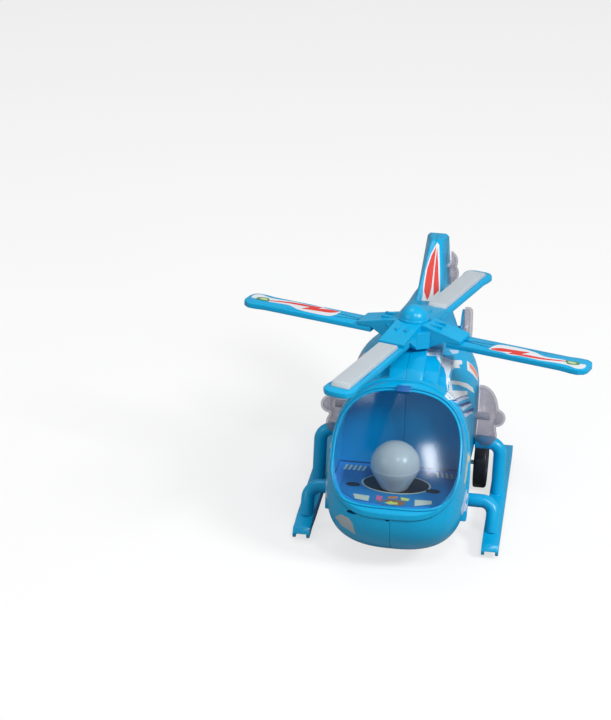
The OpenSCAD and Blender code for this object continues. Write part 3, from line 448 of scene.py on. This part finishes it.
def body_at(y, w):
    """Half width, widest height, bottom, top and exponents of the skin w inside the outer one."""
    if y >= HOOP_Y:
        hw, zw, zb, zt, lo, up = between(min(y, 170))
        return hw - w, zw, zb + w, zt - w, lo, up
    hw, zw, zb, zt, lo, up = STATIONS[0][1:]
    t = min(1.0, (HOOP_Y - y) / (NOSE_LEN - w))
    fw = (1 - t**3.1) ** (1 / 3.1)
    fb = (1 - t**2.2) ** (1 / 2.2)
    ft = math.sqrt(1 - t * t)
    return (hw - w) * fw, zw, zw - (zw - zb - w) * fb, zw + (zt - zw - w) * ft, lo, up


def ring(y, w, n=112):
    hw, zw, zb, zt, lo, up = body_at(y, w)
    points = []
    for k in range(n):
        a = math.tau * (k + 0.5) / n
        c, s = math.cos(a), math.sin(a)
        e = 2 / (up if s >= 0 else lo)
        points.append((math.copysign(abs(c) ** e, c) * hw, y,
                       zw + math.copysign(abs(s) ** e, s) * (zt - zw if s >= 0 else zw - zb)))
    return points


def body_skin(name, w):
    nose = NOSE_LEN - w
    steps = 26
    rings = [ring(HOOP_Y - nose * math.sin(math.radians(90 * k / steps)), w)
             for k in range(steps - 1, 0, -1)]
    rings += [ring(y, w) for y in range(HOOP_Y, 170, 4)]
    rings.append(ring(170 - w, w))
    return loft(name, rings, tip=(0, HOOP_Y - nose, STATIONS[0][2]))


WINDOW = Matrix.Translation(WINDOW_FOOT) @ Matrix.Rotation(WINDOW_TILT, 4, "X")


def window_outline(angle, inset=0.0):
    """Point of the window opening, in the window's own plane."""
    c, s = math.cos(angle), math.sin(angle)
    e = 2 / (3.8 if s < 0 else 2.6)
    half = (WINDOW_LEN * (0.45 if s < 0 else 0.55)) - inset
    return Vector(((WINDOW_HALF_W - inset) * math.copysign(abs(c) ** e, c),
                   WINDOW_LEN * 0.45 + 1 + half * math.copysign(abs(s) ** e, s), 0))


def front_box(name, d):
    """Everything in front of a plane d before the window."""
    return move(box(name, (-BIG, -BIG, d), (BIG, BIG, BIG)), WINDOW)


def cowl_blocks():
    blocks = [
        (11, [(-43, 94), (-43, 108), (-35, 117.5), (-14, 121.5), (14, 121.5), (34, 114), (44, 94)]),
        (20, [(-36, 92), (-36, 107), (-28, 114.5), (-10, 119), (10, 119), (28, 110), (38, 92)]),
        (27, [(-30, 86), (-30, 102), (-22, 109), (-8, 112), (8, 112), (24, 104), (32, 86)]),
    ]
    return [bevel(across("cowl", outline, -half, half), 1.1, 3) for half, outline in blocks]


def fin_block():
    def plan(z, y0, y1, half0, half1):
        return [(half0, y0, z), (half1, y1, z), (-half1, y1, z), (-half0, y0, z)]

    rings = [plan(96, 104, 172, 11, 12), plan(133.5, 157, 180, 4.5, 8), plan(136.5, 161, 177, 3.5, 6)]
    return bevel(loft("fin", rings), 1.2, 3, 20)


def hoop_block():
    outline = []
    for k in range(112):
        a = math.tau * (k + 0.5) / 112
        c, s = math.cos(a), math.sin(a)
        e = 2 / (2.8 if s >= 0 else 5)
        outline.append((45.2 * math.copysign(abs(c) ** e, c),
                        48 + math.copysign(abs(s) ** e, s) * (65 if s >= 0 else 40)))
    tunnel = prism("hoop", outline, -85, -30, lambda x, z, y: (x, y, z))
    band = box("band", (-60, -4.5, 0), (60, 4.5, 100))
    move(band, Matrix.Translation((0, -62, 29)) @ Matrix.Rotation(math.radians(-13.5), 4, "X"))
    boolean(tunnel, band, "INTERSECT")
    return bevel(tunnel, 0.8, 2, 50)


def build_shells():
    shell = body_skin("shell", 0)
    for block in cowl_blocks() + [fin_block(), hoop_block()]:
        boolean(shell, block, "UNION")
    hollow = body_skin("hollow", WALL)
    boolean(hollow, box("back_wall", (-50, -29, FLOOR_Z + 0.3), (50, -27.2, 112)), "DIFFERENCE")
    boolean(shell, hollow, "DIFFERENCE")
    cuts = [
        front_box("window", 0),
        box("belly", (-26.15, -30.15, 0), (26.15, 60.15, 10.9)),
        box("bay", (-26.15, -17.2, 0), (26.15, 60.15, 18)),
        prism("well", circle(25.35, 72, 0, -41.5), 0, 43.5),
        prism("mast", circle(4.65), 100, 130),
        rod_x("axle", -BIG, BIG, 51, 17, 2.4),
        prism("notch", circle(1.2, 24, -1.7, 43.6), -112, -98.6, lambda x, z, y: (x, y, z)),
        prism("vent", circle(3.2, 32, -24.2, 45.4, 1.3), -110, -85, lambda x, z, y: (x, y, z)),
    ]
    for cutter in cuts:
        boolean(shell, cutter, "DIFFERENCE")
    halves = []
    for name, low, high in (("shell_left", 0.06, BIG), ("shell_right", -BIG, -0.06)):
        half = bpy.data.objects.new(name, shell.data.copy())
        bpy.context.scene.collection.objects.link(half)
        boolean(half, box("side", (low, -BIG, -BIG), (high, BIG, BIG)), "INTERSECT")
        halves.append(half)
    drop(shell)
    return halves


shell_left, shell_right = build_shells()


def tree_of(*objects):
    """Ray-casting tree over finished shapes, in millimetres."""
    bm = bmesh.new()
    for o in objects:
        bm.from_mesh(o.data)
    bmesh.ops.triangulate(bm, faces=bm.faces)
    tree = BVHTree.FromBMesh(bm)
    bm.free()
    return tree


BODY = tree_of(shell_left, shell_right)
place(shell_left, "body_blue", replaces=["fuselage_left"], angle=28)
place(shell_right, "body_blue", replaces=["fuselage_right"], angle=28)

# ---------------------------------------------------------------- stickers
#
# The outlines are measured ones, so they hold more points than a drawn shape would need.


def rounded(points, per_edge=5):
    """Closed smooth curve through the points."""
    out, n = [], len(points)
    for i in range(n):
        p0, p1, p2, p3 = (points[(i + k - 1) % n] for k in range(4))
        for k in range(per_edge):
            t = k / per_edge
            out.append(0.5 * (2 * p1 + (p2 - p0) * t + (2 * p0 - 5 * p1 + 4 * p2 - p3) * t * t
                              + (3 * p1 - p0 - 3 * p2 + p3) * t**3))
    return out


def decal(name, points, facing, material, tree, thick=0.12, step=1.6, curve=False, twin=False,
          body="airframe", slot="print_sheet"):
    """Thin film on a surface: the outline is laid on it looking against the facing direction."""
    facing = Vector(facing).normalized()
    right = Vector((0, 0, 1)).cross(facing)
    right = right.normalized() if right.length > 0.01 else Vector((1, 0, 0))
    up = facing.cross(right)
    flat = [Vector((Vector(p).dot(right), Vector(p).dot(up), 0)) for p in points]
    depth = sum(Vector(p).dot(facing) for p in points) / len(points)
    if curve:
        flat = rounded(flat)
    bm = bmesh.new()
    bm.faces.new([bm.verts.new(p) for p in flat])
    bmesh.ops.triangulate(bm, faces=bm.faces)
    for axis in (0, 1):
        low = min(p[axis] for p in flat)
        high = max(p[axis] for p in flat)
        normal = Vector((1, 0, 0)) if axis == 0 else Vector((0, 1, 0))
        for k in range(1, int((high - low) / step) + 1):
            geometry = bm.verts[:] + bm.edges[:] + bm.faces[:]
            bmesh.ops.bisect_plane(bm, geom=geometry, plane_co=normal * (low + k * step),
                                   plane_no=normal)
    under, over = [], []
    for v in bm.verts:
        start = right * v.co.x + up * v.co.y + facing * (depth + 60)
        hit, normal, _, _ = tree.ray_cast(start, -facing, 130)
        if hit is None:
            near = right * v.co.x + up * v.co.y + facing * depth
            hit, normal, _, _ = tree.find_nearest(near)
        if normal.dot(facing) < 0:
            normal = -normal
        under.append(hit + normal * 0.02)
        over.append(hit + normal * (0.02 + thick))
    bm.verts.index_update()
    n = len(under)
    tops = [tuple(v.index for v in f.verts) for f in bm.faces]
    edges = [tuple(v.index for v in e.verts) for e in bm.edges if e.is_boundary]
    bm.free()
    faces = [tuple(i + n for i in f) for f in tops] + [tuple(reversed(f)) for f in tops]
    faces += [(a, b, b + n, a + n) for a, b in edges]
    o = obj(name, under + over, faces)
    pieces = [o]
    if twin:
        pieces.append(mirrored(o, name + "_b"))
    for piece in pieces:
        place(piece, material, body=body, slot=slot, angle=50)
    return o


BACK = (0.12, -0.92, 0.38)

FIN = fin_block()
FIN_TREE = tree_of(FIN)
drop(FIN)
FIN_FACE = (0, -37.5, 53)
for name, finish, thick, outline in [
    ("fin_film_white", "film_white", 0.10,
     [(0.6, 159.2, 135.2), (2.4, 157.8, 134.1), (4.8, 143.2, 122.8), (7.2, 125.9, 109.4),
      (3.9, 121.6, 106.1), (0.2, 118.6, 103.8), (-3.0, 114.1, 100.3), (-5.2, 112.5, 98.9),
      (-5.2, 117.0, 102.5), (-4.6, 122.0, 106.5), (-5.2, 129.6, 112.3), (-4.9, 140.4, 120.6),
      (-2.9, 150.6, 128.5)]),
    ("fin_film_red_a", "film_red", 0.16,
     [(0.4, 156.6, 133.2), (0.6, 142.9, 122.6), (0.8, 128.6, 111.5), (0.0, 122.2, 106.5),
      (-1.2, 119.8, 104.6), (-4.0, 125.4, 109.0), (-4.2, 130.4, 112.9), (-3.8, 141.1, 121.2),
      (-2.0, 150.0, 128.1)]),
    ("fin_film_red_b", "film_red", 0.16,
     [(1.2, 156.0, 132.7), (3.6, 143.1, 122.7), (6.3, 126.9, 110.2), (3.0, 122.9, 107.1),
      (2.0, 130.1, 112.7), (1.4, 142.9, 122.6)]),
    ("fin_film_red_c", "film_red", 0.16,
     [(-4.1, 118.1, 103.4), (-2.9, 117.0, 102.6), (-4.0, 113.6, 99.9), (-5.1, 113.1, 99.5),
      (-4.9, 115.6, 101.5)]),
]:
    decal(name, outline, FIN_FACE, finish, FIN_TREE, thick=thick)
decal("shoulder_film", [(16.3, -9.0, 119.0), (20.0, 4.2, 112.0), (23.5, 1.4, 112.0),
                        (26.8, -0.3, 112.0), (30.6, 28.6, 100.5), (31.4, 25.3, 99.4),
                        (29.5, 19.2, 100.8), (30.6, 17.8, 99.4), (27.3, 11.0, 102.0),
                        (26.4, -15.5, 110.4), (26.0, -20.9, 109.2), (27.0, -19.9, 106.0),
                        (31.1, 2.6, 96.4), (36.0, 13.6, 90.7), (39.5, 21.2, 84.8),
                        (40.7, 21.2, 80.9), (36.5, 9.6, 88.9), (31.4, -0.7, 95.3),
                        (27.6, -12.1, 100.3), (28.7, -19.1, 98.9), (36.7, 7.4, 87.9),
                        (37.2, 6.0, 86.0), (30.3, -40.1, 101.3), (27.2, -44.3, 103.3),
                        (25.7, -45.6, 106.1), (26.1, -28.2, 103.5), (24.7, -24.6, 106.7),
                        (24.1, -19.7, 109.5), (22.0, -12.2, 111.1), (20.0, -18.5, 116.9),
                        (17.2, -13.7, 118.1)], BACK, "film_white", BODY, step=1.2)
decal("cowl_film_white", [(9.7, -7, 121.5), (18.3, -1.3, 119), (19.7, -11.1, 118.7),
                          (10.9, -17.0, 120.7)], BACK, "film_white", BODY)
decal("cowl_film_pale", [(21.8, 29.4, 106.9), (27.8, 38.2, 103.4), (27.7, 33.5, 103.3),
                         (24.5, 26.4, 105.4)], BACK, "film_pale", BODY)

SIDE = (0.9, -0.25, 0.4)
# Louvre strips: the navy ones are painted shade in the slits between the ribs, and the pale ones are
# painted light on the lit rib faces.
LOUVRES = [
    ("film_painted_slit_shade", [(28.1, -47.8, 104.4), (31.8, -42.6, 103), (37.6, 8.5, 86), (37.1, 4.1, 86.3),
                   (31.8, -42.6, 101.6)]),
    ("film_pale", [(31.3, -47.4, 103.5), (35.6, -1.7, 88.2), (38.7, 8.4, 83.1),
                   (34.1, -41.8, 100.2)]),
    ("film_painted_slit_shade", [(33.2, -47.8, 101.3), (35.1, -18.9, 90.2), (39.4, 7.6, 81.1),
                   (39.1, 5.2, 80.2), (35.2, -20.4, 88.2)]),
    ("film_pale", [(35.3, -45.3, 98.7), (39.1, 4.9, 80.4), (40.4, 9.2, 77.9), (36.3, -21.6, 86.4)]),
    ("film_painted_slit_shade", [(36.4, -46.3, 96.8), (37.5, -16.8, 84), (41.3, 11.5, 74.8), (41.4, 10.7, 73.0),
                   (37.9, -16, 82.0)]),
    ("film_pale", [(37.8, -45.1, 94.5), (40.4, 4.4, 75.4), (41.3, 7.2, 72.6), (37.9, -22.1, 82.2)]),
]
for i, (finish, outline) in enumerate(LOUVRES):
    decal("louvre_film_" + str(i + 1), outline, SIDE, finish, BODY, twin=True)
decal("shoulder_rim_film", [(33.5, 34.3, 98), (35.8, 37, 95.5), (42.5, 43, 85), (41.3, 35.9, 83.3),
                            (38.5, 30.8, 89.8), (34.9, 25.6, 95.1)], SIDE, "film_white", BODY,
      twin=True)
decal("shoulder_red_film", [(35.0, 35.6, 96.4), (38.7, 38.6, 91.3), (41.6, 41.0, 86),
                            (41.2, 37.4, 84.4), (39.1, 34.8, 89.2), (36.1, 31.6, 94.6)], SIDE,
      "film_coral", BODY, thick=0.2, twin=True)
decal("hoop_film_tan", [(44.4, -52.9, 70.1), (43.5, -64.2, 63.6), (43, -72.5, 59), (42.7, -73.9, 60.7),
                        (43.1, -68.1, 68.6), (43.7, -55.9, 73.6)], (1, -0.2, 0.1), "film_tan", BODY,
      twin=True)
# The white chin sticker uses a darkened film: painted shade, since the chin lies in shade.
decal("chin_film_white", [(-35.4, -90.1, 37.2), (-31.3, -94.8, 41.7), (-26.1, -97.2, 40.8),
                          (-23.6, -97.5, 37.7), (-21.7, -93.7, 27.9), (-26.2, -94, 31.1),
                          (-30.5, -92, 32.4)], BACK, "film_white_painted_shade", BODY)
decal("hoop_film_pale", [(43.9, -60, 50), (43.6, -68, 51.6), (42.2, -78, 44), (42.6, -74, 38),
                         (43.9, -64, 36)], (1, -0.3, 0), "film_pale", BODY, twin=True)

# ---------------------------------------------------------------- window


def window_plug(name, inset, low, high):
    points = [window_outline(math.tau * k / 160, inset) for k in range(160)]
    return move(prism(name, [(p.x, p.y) for p in points], low, high), WINDOW)


bezel = body_skin("window_frame", -0.6)
boolean(bezel, front_box("front", 0.06), "INTERSECT")
boolean(bezel, front_box("past", 2.6), "DIFFERENCE")
boolean(bezel, window_plug("opening", 0, -10, 20), "DIFFERENCE")
groove = window_plug("groove", -1.9, 1.9, 8)
boolean(groove, window_plug("core", -1.3, 0, 12), "DIFFERENCE")
boolean(bezel, groove, "DIFFERENCE")
bevel(bezel, 0.3, 3, 40)
place(bezel, "body_blue", replaces=["window_bezel"], angle=40)


def screen_height(p, radius):
    return math.sqrt(radius**2 - p.x**2 - (p.y - WINDOW_LEN / 2 - 1) ** 2) + SCREEN_RISE - SCREEN_R


def build_screen():
    centre = Vector((0, WINDOW_LEN / 2 + 1, 0))
    verts, faces, n, rows = [], [], 160, 22
    for radius in (SCREEN_R, SCREEN_R - SCREEN_T):
        verts.append(Vector((centre.x, centre.y, screen_height(centre, radius))))
        for i in range(1, rows + 1):
            for k in range(n):
                p = centre.lerp(window_outline(math.tau * k / n, 0.25), i / rows)
                verts.append(Vector((p.x, p.y, screen_height(p, radius))))
    sheet = 1 + rows * n
    for s in range(2):
        base = s * sheet
        for k in range(n):
            j = (k + 1) % n
            faces.append((base, base + 1 + k, base + 1 + j))
            for i in range(rows - 1):
                a = base + 1 + i * n
                faces.append((a + k, a + n + k, a + n + j, a + j))
    edge = 1 + (rows - 1) * n
    faces += [(edge + k, edge + (k + 1) % n, sheet + edge + (k + 1) % n, sheet + edge + k)
              for k in range(n)]
    return obj("screen_pane", [WINDOW @ v for v in verts], faces)


place(build_screen(), "clear_screen", replaces=["windscreen"], angle=60)

# ---------------------------------------------------------------- lamp under the screen

dome = [(8, 0), (8.8, 0), (9.7, 1.6), (11.3, 4.6), (13.1, 7.8), (14.7, 10.9), (15.6, 13.4),
        (15.8, 14.9), (15.62, 15.1), (15.62, 15.4)]
dome += [(15.6 * math.cos(math.radians(a)), 15.8 + 15.0 * math.sin(math.radians(a)))
         for a in range(2, 90, 5)]
dome += [(0.02, 30.8), (0.02, 29.6)]
dome += [(14.4 * math.cos(math.radians(a)), 15.5 + 14.1 * math.sin(math.radians(a)))
         for a in range(87, 2, -6)]
dome += [(14.6, 12.4), (13, 9.8), (8.2, 4.6)]
lamp = lathe("lamp_shade", dome)
move(lamp, Matrix.Translation((-2, -60, FLOOR_Z + 0.02)))
place(lamp, "milky_white", replaces=["pilot_lamp"], angle=40)

# ---------------------------------------------------------------- side lights


POD_Y, POD_Z = 30, 63.2
POD_R = 18.8
POD_DEPTH = 12.6
POD_WALL = 1.4
POD_SEAT_X = 43.45


def pod_volume(name, w):
    """Lumpy dome, w inside the outer skin; a hollow also reaches past the open base."""

    def lobes(t):
        return 1 + 0.010 * math.cos(9 * t + 0.6) + 0.004 * math.cos(23 * t)

    turns = [math.tau * k / 126 for k in range(126)]
    levels = [(41 - 2 * w, 18.6), (44.6, POD_R)]
    levels += [(44.8 + (POD_DEPTH - w) * math.sin(a), POD_R * math.cos(a))
               for a in (math.radians(5.8 * i) for i in range(1, 16))]
    rings = [[(x, POD_Y + (r - w) * lobes(t) * math.cos(t), POD_Z + (r - w) * lobes(t) * math.sin(t))
              for t in turns] for x, r in levels]
    parts = [loft("dome", rings)]
    for centre, radius in (((56.3, 30, 60.5), 5.9), ((50, 24, 50), 7.5), ((48.5, 31, 51), 8),
                           ((52, 38, 57), 6)):
        bm = bmesh.new()
        bmesh.ops.create_uvsphere(bm, u_segments=40, v_segments=24, radius=radius - w)
        mesh = bpy.data.meshes.new("lump")
        bm.to_mesh(mesh)
        bm.free()
        mesh.transform(Matrix.Translation(centre))
        lump = bpy.data.objects.new("lump", mesh)
        bpy.context.scene.collection.objects.link(lump)
        parts.append(lump)
    return melt(join(name, parts), 0.55, 3)


pod = pod_volume("side_light", 0)
boolean(pod, pod_volume("inner", POD_WALL), "DIFFERENCE")
boolean(pod, box("seat", (0, -BIG, -BIG), (POD_SEAT_X, BIG, BIG)), "DIFFERENCE")
boolean(pod, rod_x("strut_way", 0, BIG, 24, 45, 4.55), "DIFFERENCE")
place(mirrored(pod, "side_light_b"), "lilac_clear", replaces=["engine_pod_right"], angle=60)
place(pod, "lilac_clear", replaces=["engine_pod_left"], angle=60)

# ---------------------------------------------------------------- stickers on rotor and cabin


def cad_tree(*names):
    bm = bmesh.new()
    for name in names:
        bm.from_mesh(frame["nodes"][name].data)
    bmesh.ops.scale(bm, vec=(1000, 1000, 1000), verts=bm.verts)
    bmesh.ops.translate(bm, vec=(0, MAST_AHEAD, 0), verts=bm.verts)
    bmesh.ops.triangulate(bm, faces=bm.faces)
    tree = BVHTree.FromBMesh(bm)
    bm.free()
    return tree


def rotor_points(points, turn, z):
    a = math.radians(ROTOR_PARK + turn)
    return [(r * math.cos(a) - t * math.sin(a), r * math.sin(a) + t * math.cos(a), z)
            for r, t in points]


BLADE_FILMS = [
    ("film_white", 0.10, [(57.1, -13.0), (60.5, -3.9), (75.5, -3.0), (84.6, -4.4), (92.4, -8.0),
                          (105.6, -7.1), (116.9, -8.0), (120.0, -8.4), (120.2, -13.8),
                          (116.2, -16.4), (110.4, -14.3), (103.4, -13.9), (91.8, -15.3),
                          (79.6, -14.9), (72.0, -16.2), (68.0, -14.9), (58.6, -14.3)]),
    ("film_red", 0.18, [(57.9, -13.2), (62.8, -9.1), (70.1, -8.0), (76.9, -7.2), (81.8, -6.6),
                        (78.4, -11.4), (81.3, -11.2), (87.9, -11.1), (95.3, -10.6), (106.5, -8.3),
                        (106.8, -9.3), (95.0, -12.9), (86.4, -14.1), (79.4, -14.3), (75.0, -14.6),
                        (70.5, -14.9), (72.0, -12.0), (66.0, -13.8), (61.1, -14.1)]),
    ("film_green", 0.24, [(106.4, -8.1), (108.0, -7.0), (112.8, -6.6), (115.7, -7.6),
                          (115.8, -10.3), (111.7, -12.2), (108.6, -11.8)]),
    ("film_lime", 0.30, [(108.2, -8.6), (111.0, -8.0), (113.8, -8.8), (112.5, -10.6),
                         (109.6, -10.6)]),
]
for blade, turn in (("blade_left", 0), ("blade_right", 180)):
    surface_tree = cad_tree(blade)
    for finish, thick, outline in BLADE_FILMS:
        shifted = [(r - 2.8, t + 8.4) for r, t in outline]
        decal(blade + "_" + finish, rotor_points(shifted, turn, BLADE_TOP - PLAIN_DROP), (0, 0, 1),
              finish, surface_tree, thick=thick, step=60, curve=True, body="rotor")

SHEET = cad_tree("instrument_sheet", "cockpit_floor")
decal("print_ring", [(x, y, 47.5) for x, y in circle(22.2, 56, -1, -57, 14)], (0, 0, 1),
      "film_cream", SHEET, thick=0.06, step=60)
decal("print_well", [(x, y, 47.5) for x, y in circle(21, 56, -1, -57, 12.9)], (0, 0, 1),
      "film_black", SHEET, thick=0.10, step=60)
for name, finish, outline in [
    ("print_seat", "film_orange", [(-5, -67.6), (0.9, -66.4), (2.1, -77.2), (-3.8, -78.4)]),
    ("print_brown", "film_brown", [(-10.3, -83.3), (-4, -79.6), (3, -79.4), (7.7, -81.5),
                                   (5.5, -87), (-6.2, -87.6)]),
    ("print_gold", "film_yellow", [(-5.2, -84.6), (-1.6, -81.8), (2.6, -82.4), (3.2, -85.6),
                                   (-2.4, -86.6)]),
    ("print_pink", "film_pink", [(-11.4, -75.4), (-7.1, -76.4), (-7.9, -82.6), (-11.2, -81.8)]),
    ("print_yellow", "film_yellow", [(3.8, -75), (9.7, -76.2), (8.8, -79.6), (4.4, -79)]),
    ("print_cream_a", "film_cream", [(-26.3, -75.8), (-15.6, -77.2), (-15.6, -84.5), (-24.2, -82.7)]),
    ("print_cream_b", "film_cream", [(12.9, -76.7), (23.6, -76.3), (23.7, -80.9), (13.5, -85.5)]),
]:
    decal(name, [(x, y, 47.5) for x, y in outline], (0, 0, 1), finish, SHEET, thick=0.08, step=60)
for i, x in enumerate((-28, 23)):
    decal("print_dial_" + str(i + 1), [(a, b, 47.5) for a, b in circle(4.6, 28, x, -62.5, 2.9)],
          (0, 0, 1), "film_black", SHEET, thick=0.08, step=60)
for side in (-1, 1):
    for i in range(5):
        x0 = side * (36 - 3 * i)
        decal("print_key_" + ("a" if side < 0 else "b") + str(i + 1),
              [(x0, -34.6, 47.5), (x0 - side * 1.7, -34.5, 47.5), (x0 - side * 0.6, -41.6, 47.5),
               (x0 + side * 1.1, -41.8, 47.5)], (0, 0, 1), "film_cream", SHEET, thick=0.08, step=60)

# ---------------------------------------------------------------- packed sub-parts kept in view


def shade_group():
    """Smooth shading that leaves edges sharper than 32 degrees crisp."""
    group = bpy.data.node_groups.new("soft_shading", "GeometryNodeTree")
    group.interface.new_socket("Geometry", in_out="INPUT", socket_type="NodeSocketGeometry")
    group.interface.new_socket("Geometry", in_out="OUTPUT", socket_type="NodeSocketGeometry")
    first, last = group.nodes.new("NodeGroupInput"), group.nodes.new("NodeGroupOutput")
    faces = group.nodes.new("GeometryNodeSetShadeSmooth")
    edges = group.nodes.new("GeometryNodeSetShadeSmooth")
    edges.domain = "EDGE"
    edges.inputs["Shade Smooth"].default_value = False
    angle = group.nodes.new("GeometryNodeInputMeshEdgeAngle")
    sharp = group.nodes.new("FunctionNodeCompare")
    sharp.data_type, sharp.operation = "FLOAT", "GREATER_THAN"
    sharp.inputs[1].default_value = math.radians(32)
    group.links.new(first.outputs[0], faces.inputs["Geometry"])
    group.links.new(faces.outputs["Geometry"], edges.inputs["Geometry"])
    group.links.new(angle.outputs["Unsigned Angle"], sharp.inputs[0])
    group.links.new(sharp.outputs["Result"], edges.inputs["Selection"])
    group.links.new(edges.outputs["Geometry"], last.inputs[0])
    return group


SHADING = shade_group()

# name: material, rounding of the edges in mm
KEPT = {
    # The window catch's blue is body blue darkened as painted shade.
    "chassis": ("body_blue", 0.4), "window_catch": ("deep_blue", 0.35),
    "cockpit_floor": ("floor_blue", 0), "instrument_sheet": ("print_sheet", 0),
    "lamp_led": ("led_amber", 0), "pod_leds": ("led_clear", 0), "tail_disc": ("lilac_clear", 0.3),
    "tail_disc_base": ("body_blue", 0.4), "fin_lens": ("lilac_clear", 0), "tail_leds": ("led_clear", 0),
    "skid_left": ("body_blue", 0.5), "skid_right": ("body_blue", 0.5),
    "rotor_hub": ("body_blue", 0.5), "hub_cap": ("body_blue", 0.3), "rotor_mast": ("steel", 0),
    "mast_gear": ("gear_white", 0), "mast_bush": ("ivory", 0), "blade_left": ("body_blue", 0.5),
    "blade_right": ("body_blue", 0.5), "blade_front": ("body_blue", 0.5),
    "blade_rear": ("body_blue", 0.5), "blade_lens_front": ("lens_white", 0.7),
    "blade_lens_rear": ("lens_white", 0.7), "blade_leds": ("led_amber", 0),
    "blade_screws": ("steel", 0), "gearbox_base": ("ivory", 0), "gearbox_cover": ("ivory", 0),
    "rotor_idler": ("gear_white", 0), "idler_pin": ("steel", 0), "rotor_motor": ("steel", 0),
    "rotor_motor_shaft": ("brass", 0), "rear_axle": ("steel", 0),
    "rear_wheel_left": ("black_plastic", 0.5), "rear_wheel_right": ("black_plastic", 0.5),
    "carriage_drum": ("grey_plastic", 0.3), "carriage_lid": ("grey_plastic", 0.2),
    "carriage_well_cap": ("grey_plastic", 0.2), "slip_rings": ("brass", 0),
    "ring_brushes": ("brass", 0), "drive_motor": ("steel", 0), "drive_motor_shaft": ("brass", 0),
    "drive_idler": ("gear_white", 0), "drive_idler_pin": ("steel", 0), "drive_axle": ("steel", 0),
    "drive_wheels": ("grey_plastic", 0.2), "drive_tyres": ("black_rubber", 0.3),
    "battery_door": ("body_blue", 0.3), "door_screw": ("steel", 0), "batteries": ("battery_can", 0.3),
    "circuit_board": ("board_green", 0), "speaker": ("black_plastic", 0.2),
    "power_switch": ("black_plastic", 0.2), "body_screws": ("steel", 0),
}
for name, (finish, rounding) in KEPT.items():
    part = frame["nodes"][name]
    part.data.materials.clear()
    part.data.materials.append(MATS[finish])
    weld = part.modifiers.new("weld", "WELD")
    weld.merge_threshold = 1e-6
    if rounding:
        mod = part.modifiers.new("round", "BEVEL")
        mod.width, mod.segments = rounding * MM, 2
        mod.limit_method, mod.angle_limit = "ANGLE", math.radians(35)
    part.modifiers.new("shading", "NODES").node_group = SHADING

# ---------------------------------------------------------------- stage, camera, light

ground = obj("stage_floor", [(-4, -4, 0), (4, -4, 0), (4, 4, 0), (-4, 4, 0)], [(0, 1, 2, 3)])
ground.data.materials.append(studio_white())

camera = bpy.data.objects.new("camera", bpy.data.cameras.new("camera"))
bpy.context.scene.collection.objects.link(camera)
azimuth, height, lean = (math.radians(v) for v in (7.7022, 22.538, 1.8596))
DISTANCE, ASIDE, RAISED = 1.44169, 0.06821, 0.10262  # metres from the mast's foot
back = Vector((math.sin(azimuth) * math.cos(height), -math.cos(azimuth) * math.cos(height),
               math.sin(height)))
level = Vector((math.cos(azimuth), math.sin(azimuth), 0))
above = back.cross(level)
right = level * math.cos(lean) + above * math.sin(lean)
up = above * math.cos(lean) - level * math.sin(lean)
eye = back * DISTANCE - level * ASIDE + above * RAISED - Vector((0, MAST_AHEAD * MM, 0))
camera.matrix_world = Matrix((right, up, back)).transposed().to_4x4()
camera.location = eye
camera.data.lens = 107.94
camera.data.shift_x, camera.data.shift_y = -0.0015, -0.00754
camera.data.clip_start = 0.05
bpy.context.scene.camera = camera


def softbox(name, place_at, aim, size, watts, tint=(1, 1, 1)):
    data = bpy.data.lights.new(name, "AREA")
    data.shape, data.size, data.size_y = "RECTANGLE", size[0], size[1]
    data.energy, data.color = watts, tint
    light = bpy.data.objects.new(name, data)
    light.location = place_at
    light.rotation_euler = (Vector(aim) - Vector(place_at)).to_track_quat("-Z", "Y").to_euler()
    bpy.context.scene.collection.objects.link(light)


softbox("light_key", (1.15, -0.65, 1.1), (0, 0, 0.06), (0.5, 0.4), 17)
softbox("light_top", (-0.35, 0.1, 1.35), (0, 0, 0.08), (0.6, 0.5), 3)
softbox("light_left", (-1.1, -0.9, 0.7), (0, 0, 0.06), (0.4, 0.4), 2)
softbox("light_front", (0.30, -0.80, 1.02), (0, -0.05, 0.08), (0.14, 0.34), 4)

world = bpy.data.worlds.new("studio")
world.use_nodes = True
bpy.context.scene.world = world
sky = world.node_tree
coords = node(sky, "ShaderNodeTexCoord")
split = node(sky, "ShaderNodeSeparateXYZ")
shade = node(sky, "ShaderNodeValToRGB")
shade.color_ramp.elements[0].position, shade.color_ramp.elements[0].color = 0.0, (0.80, 0.82, 0.86, 1)
shade.color_ramp.elements[1].position, shade.color_ramp.elements[1].color = 0.6, (1, 1, 1, 1)
sky.links.new(coords.outputs["Generated"], split.inputs["Vector"])
sky.links.new(split.outputs["Z"], shade.inputs["Fac"])
sky.links.new(shade.outputs["Color"], sky.nodes["Background"].inputs["Color"])
sky.nodes["Background"].inputs["Strength"].default_value = 0.36
bpy.context.scene.view_settings.view_transform = "Standard"
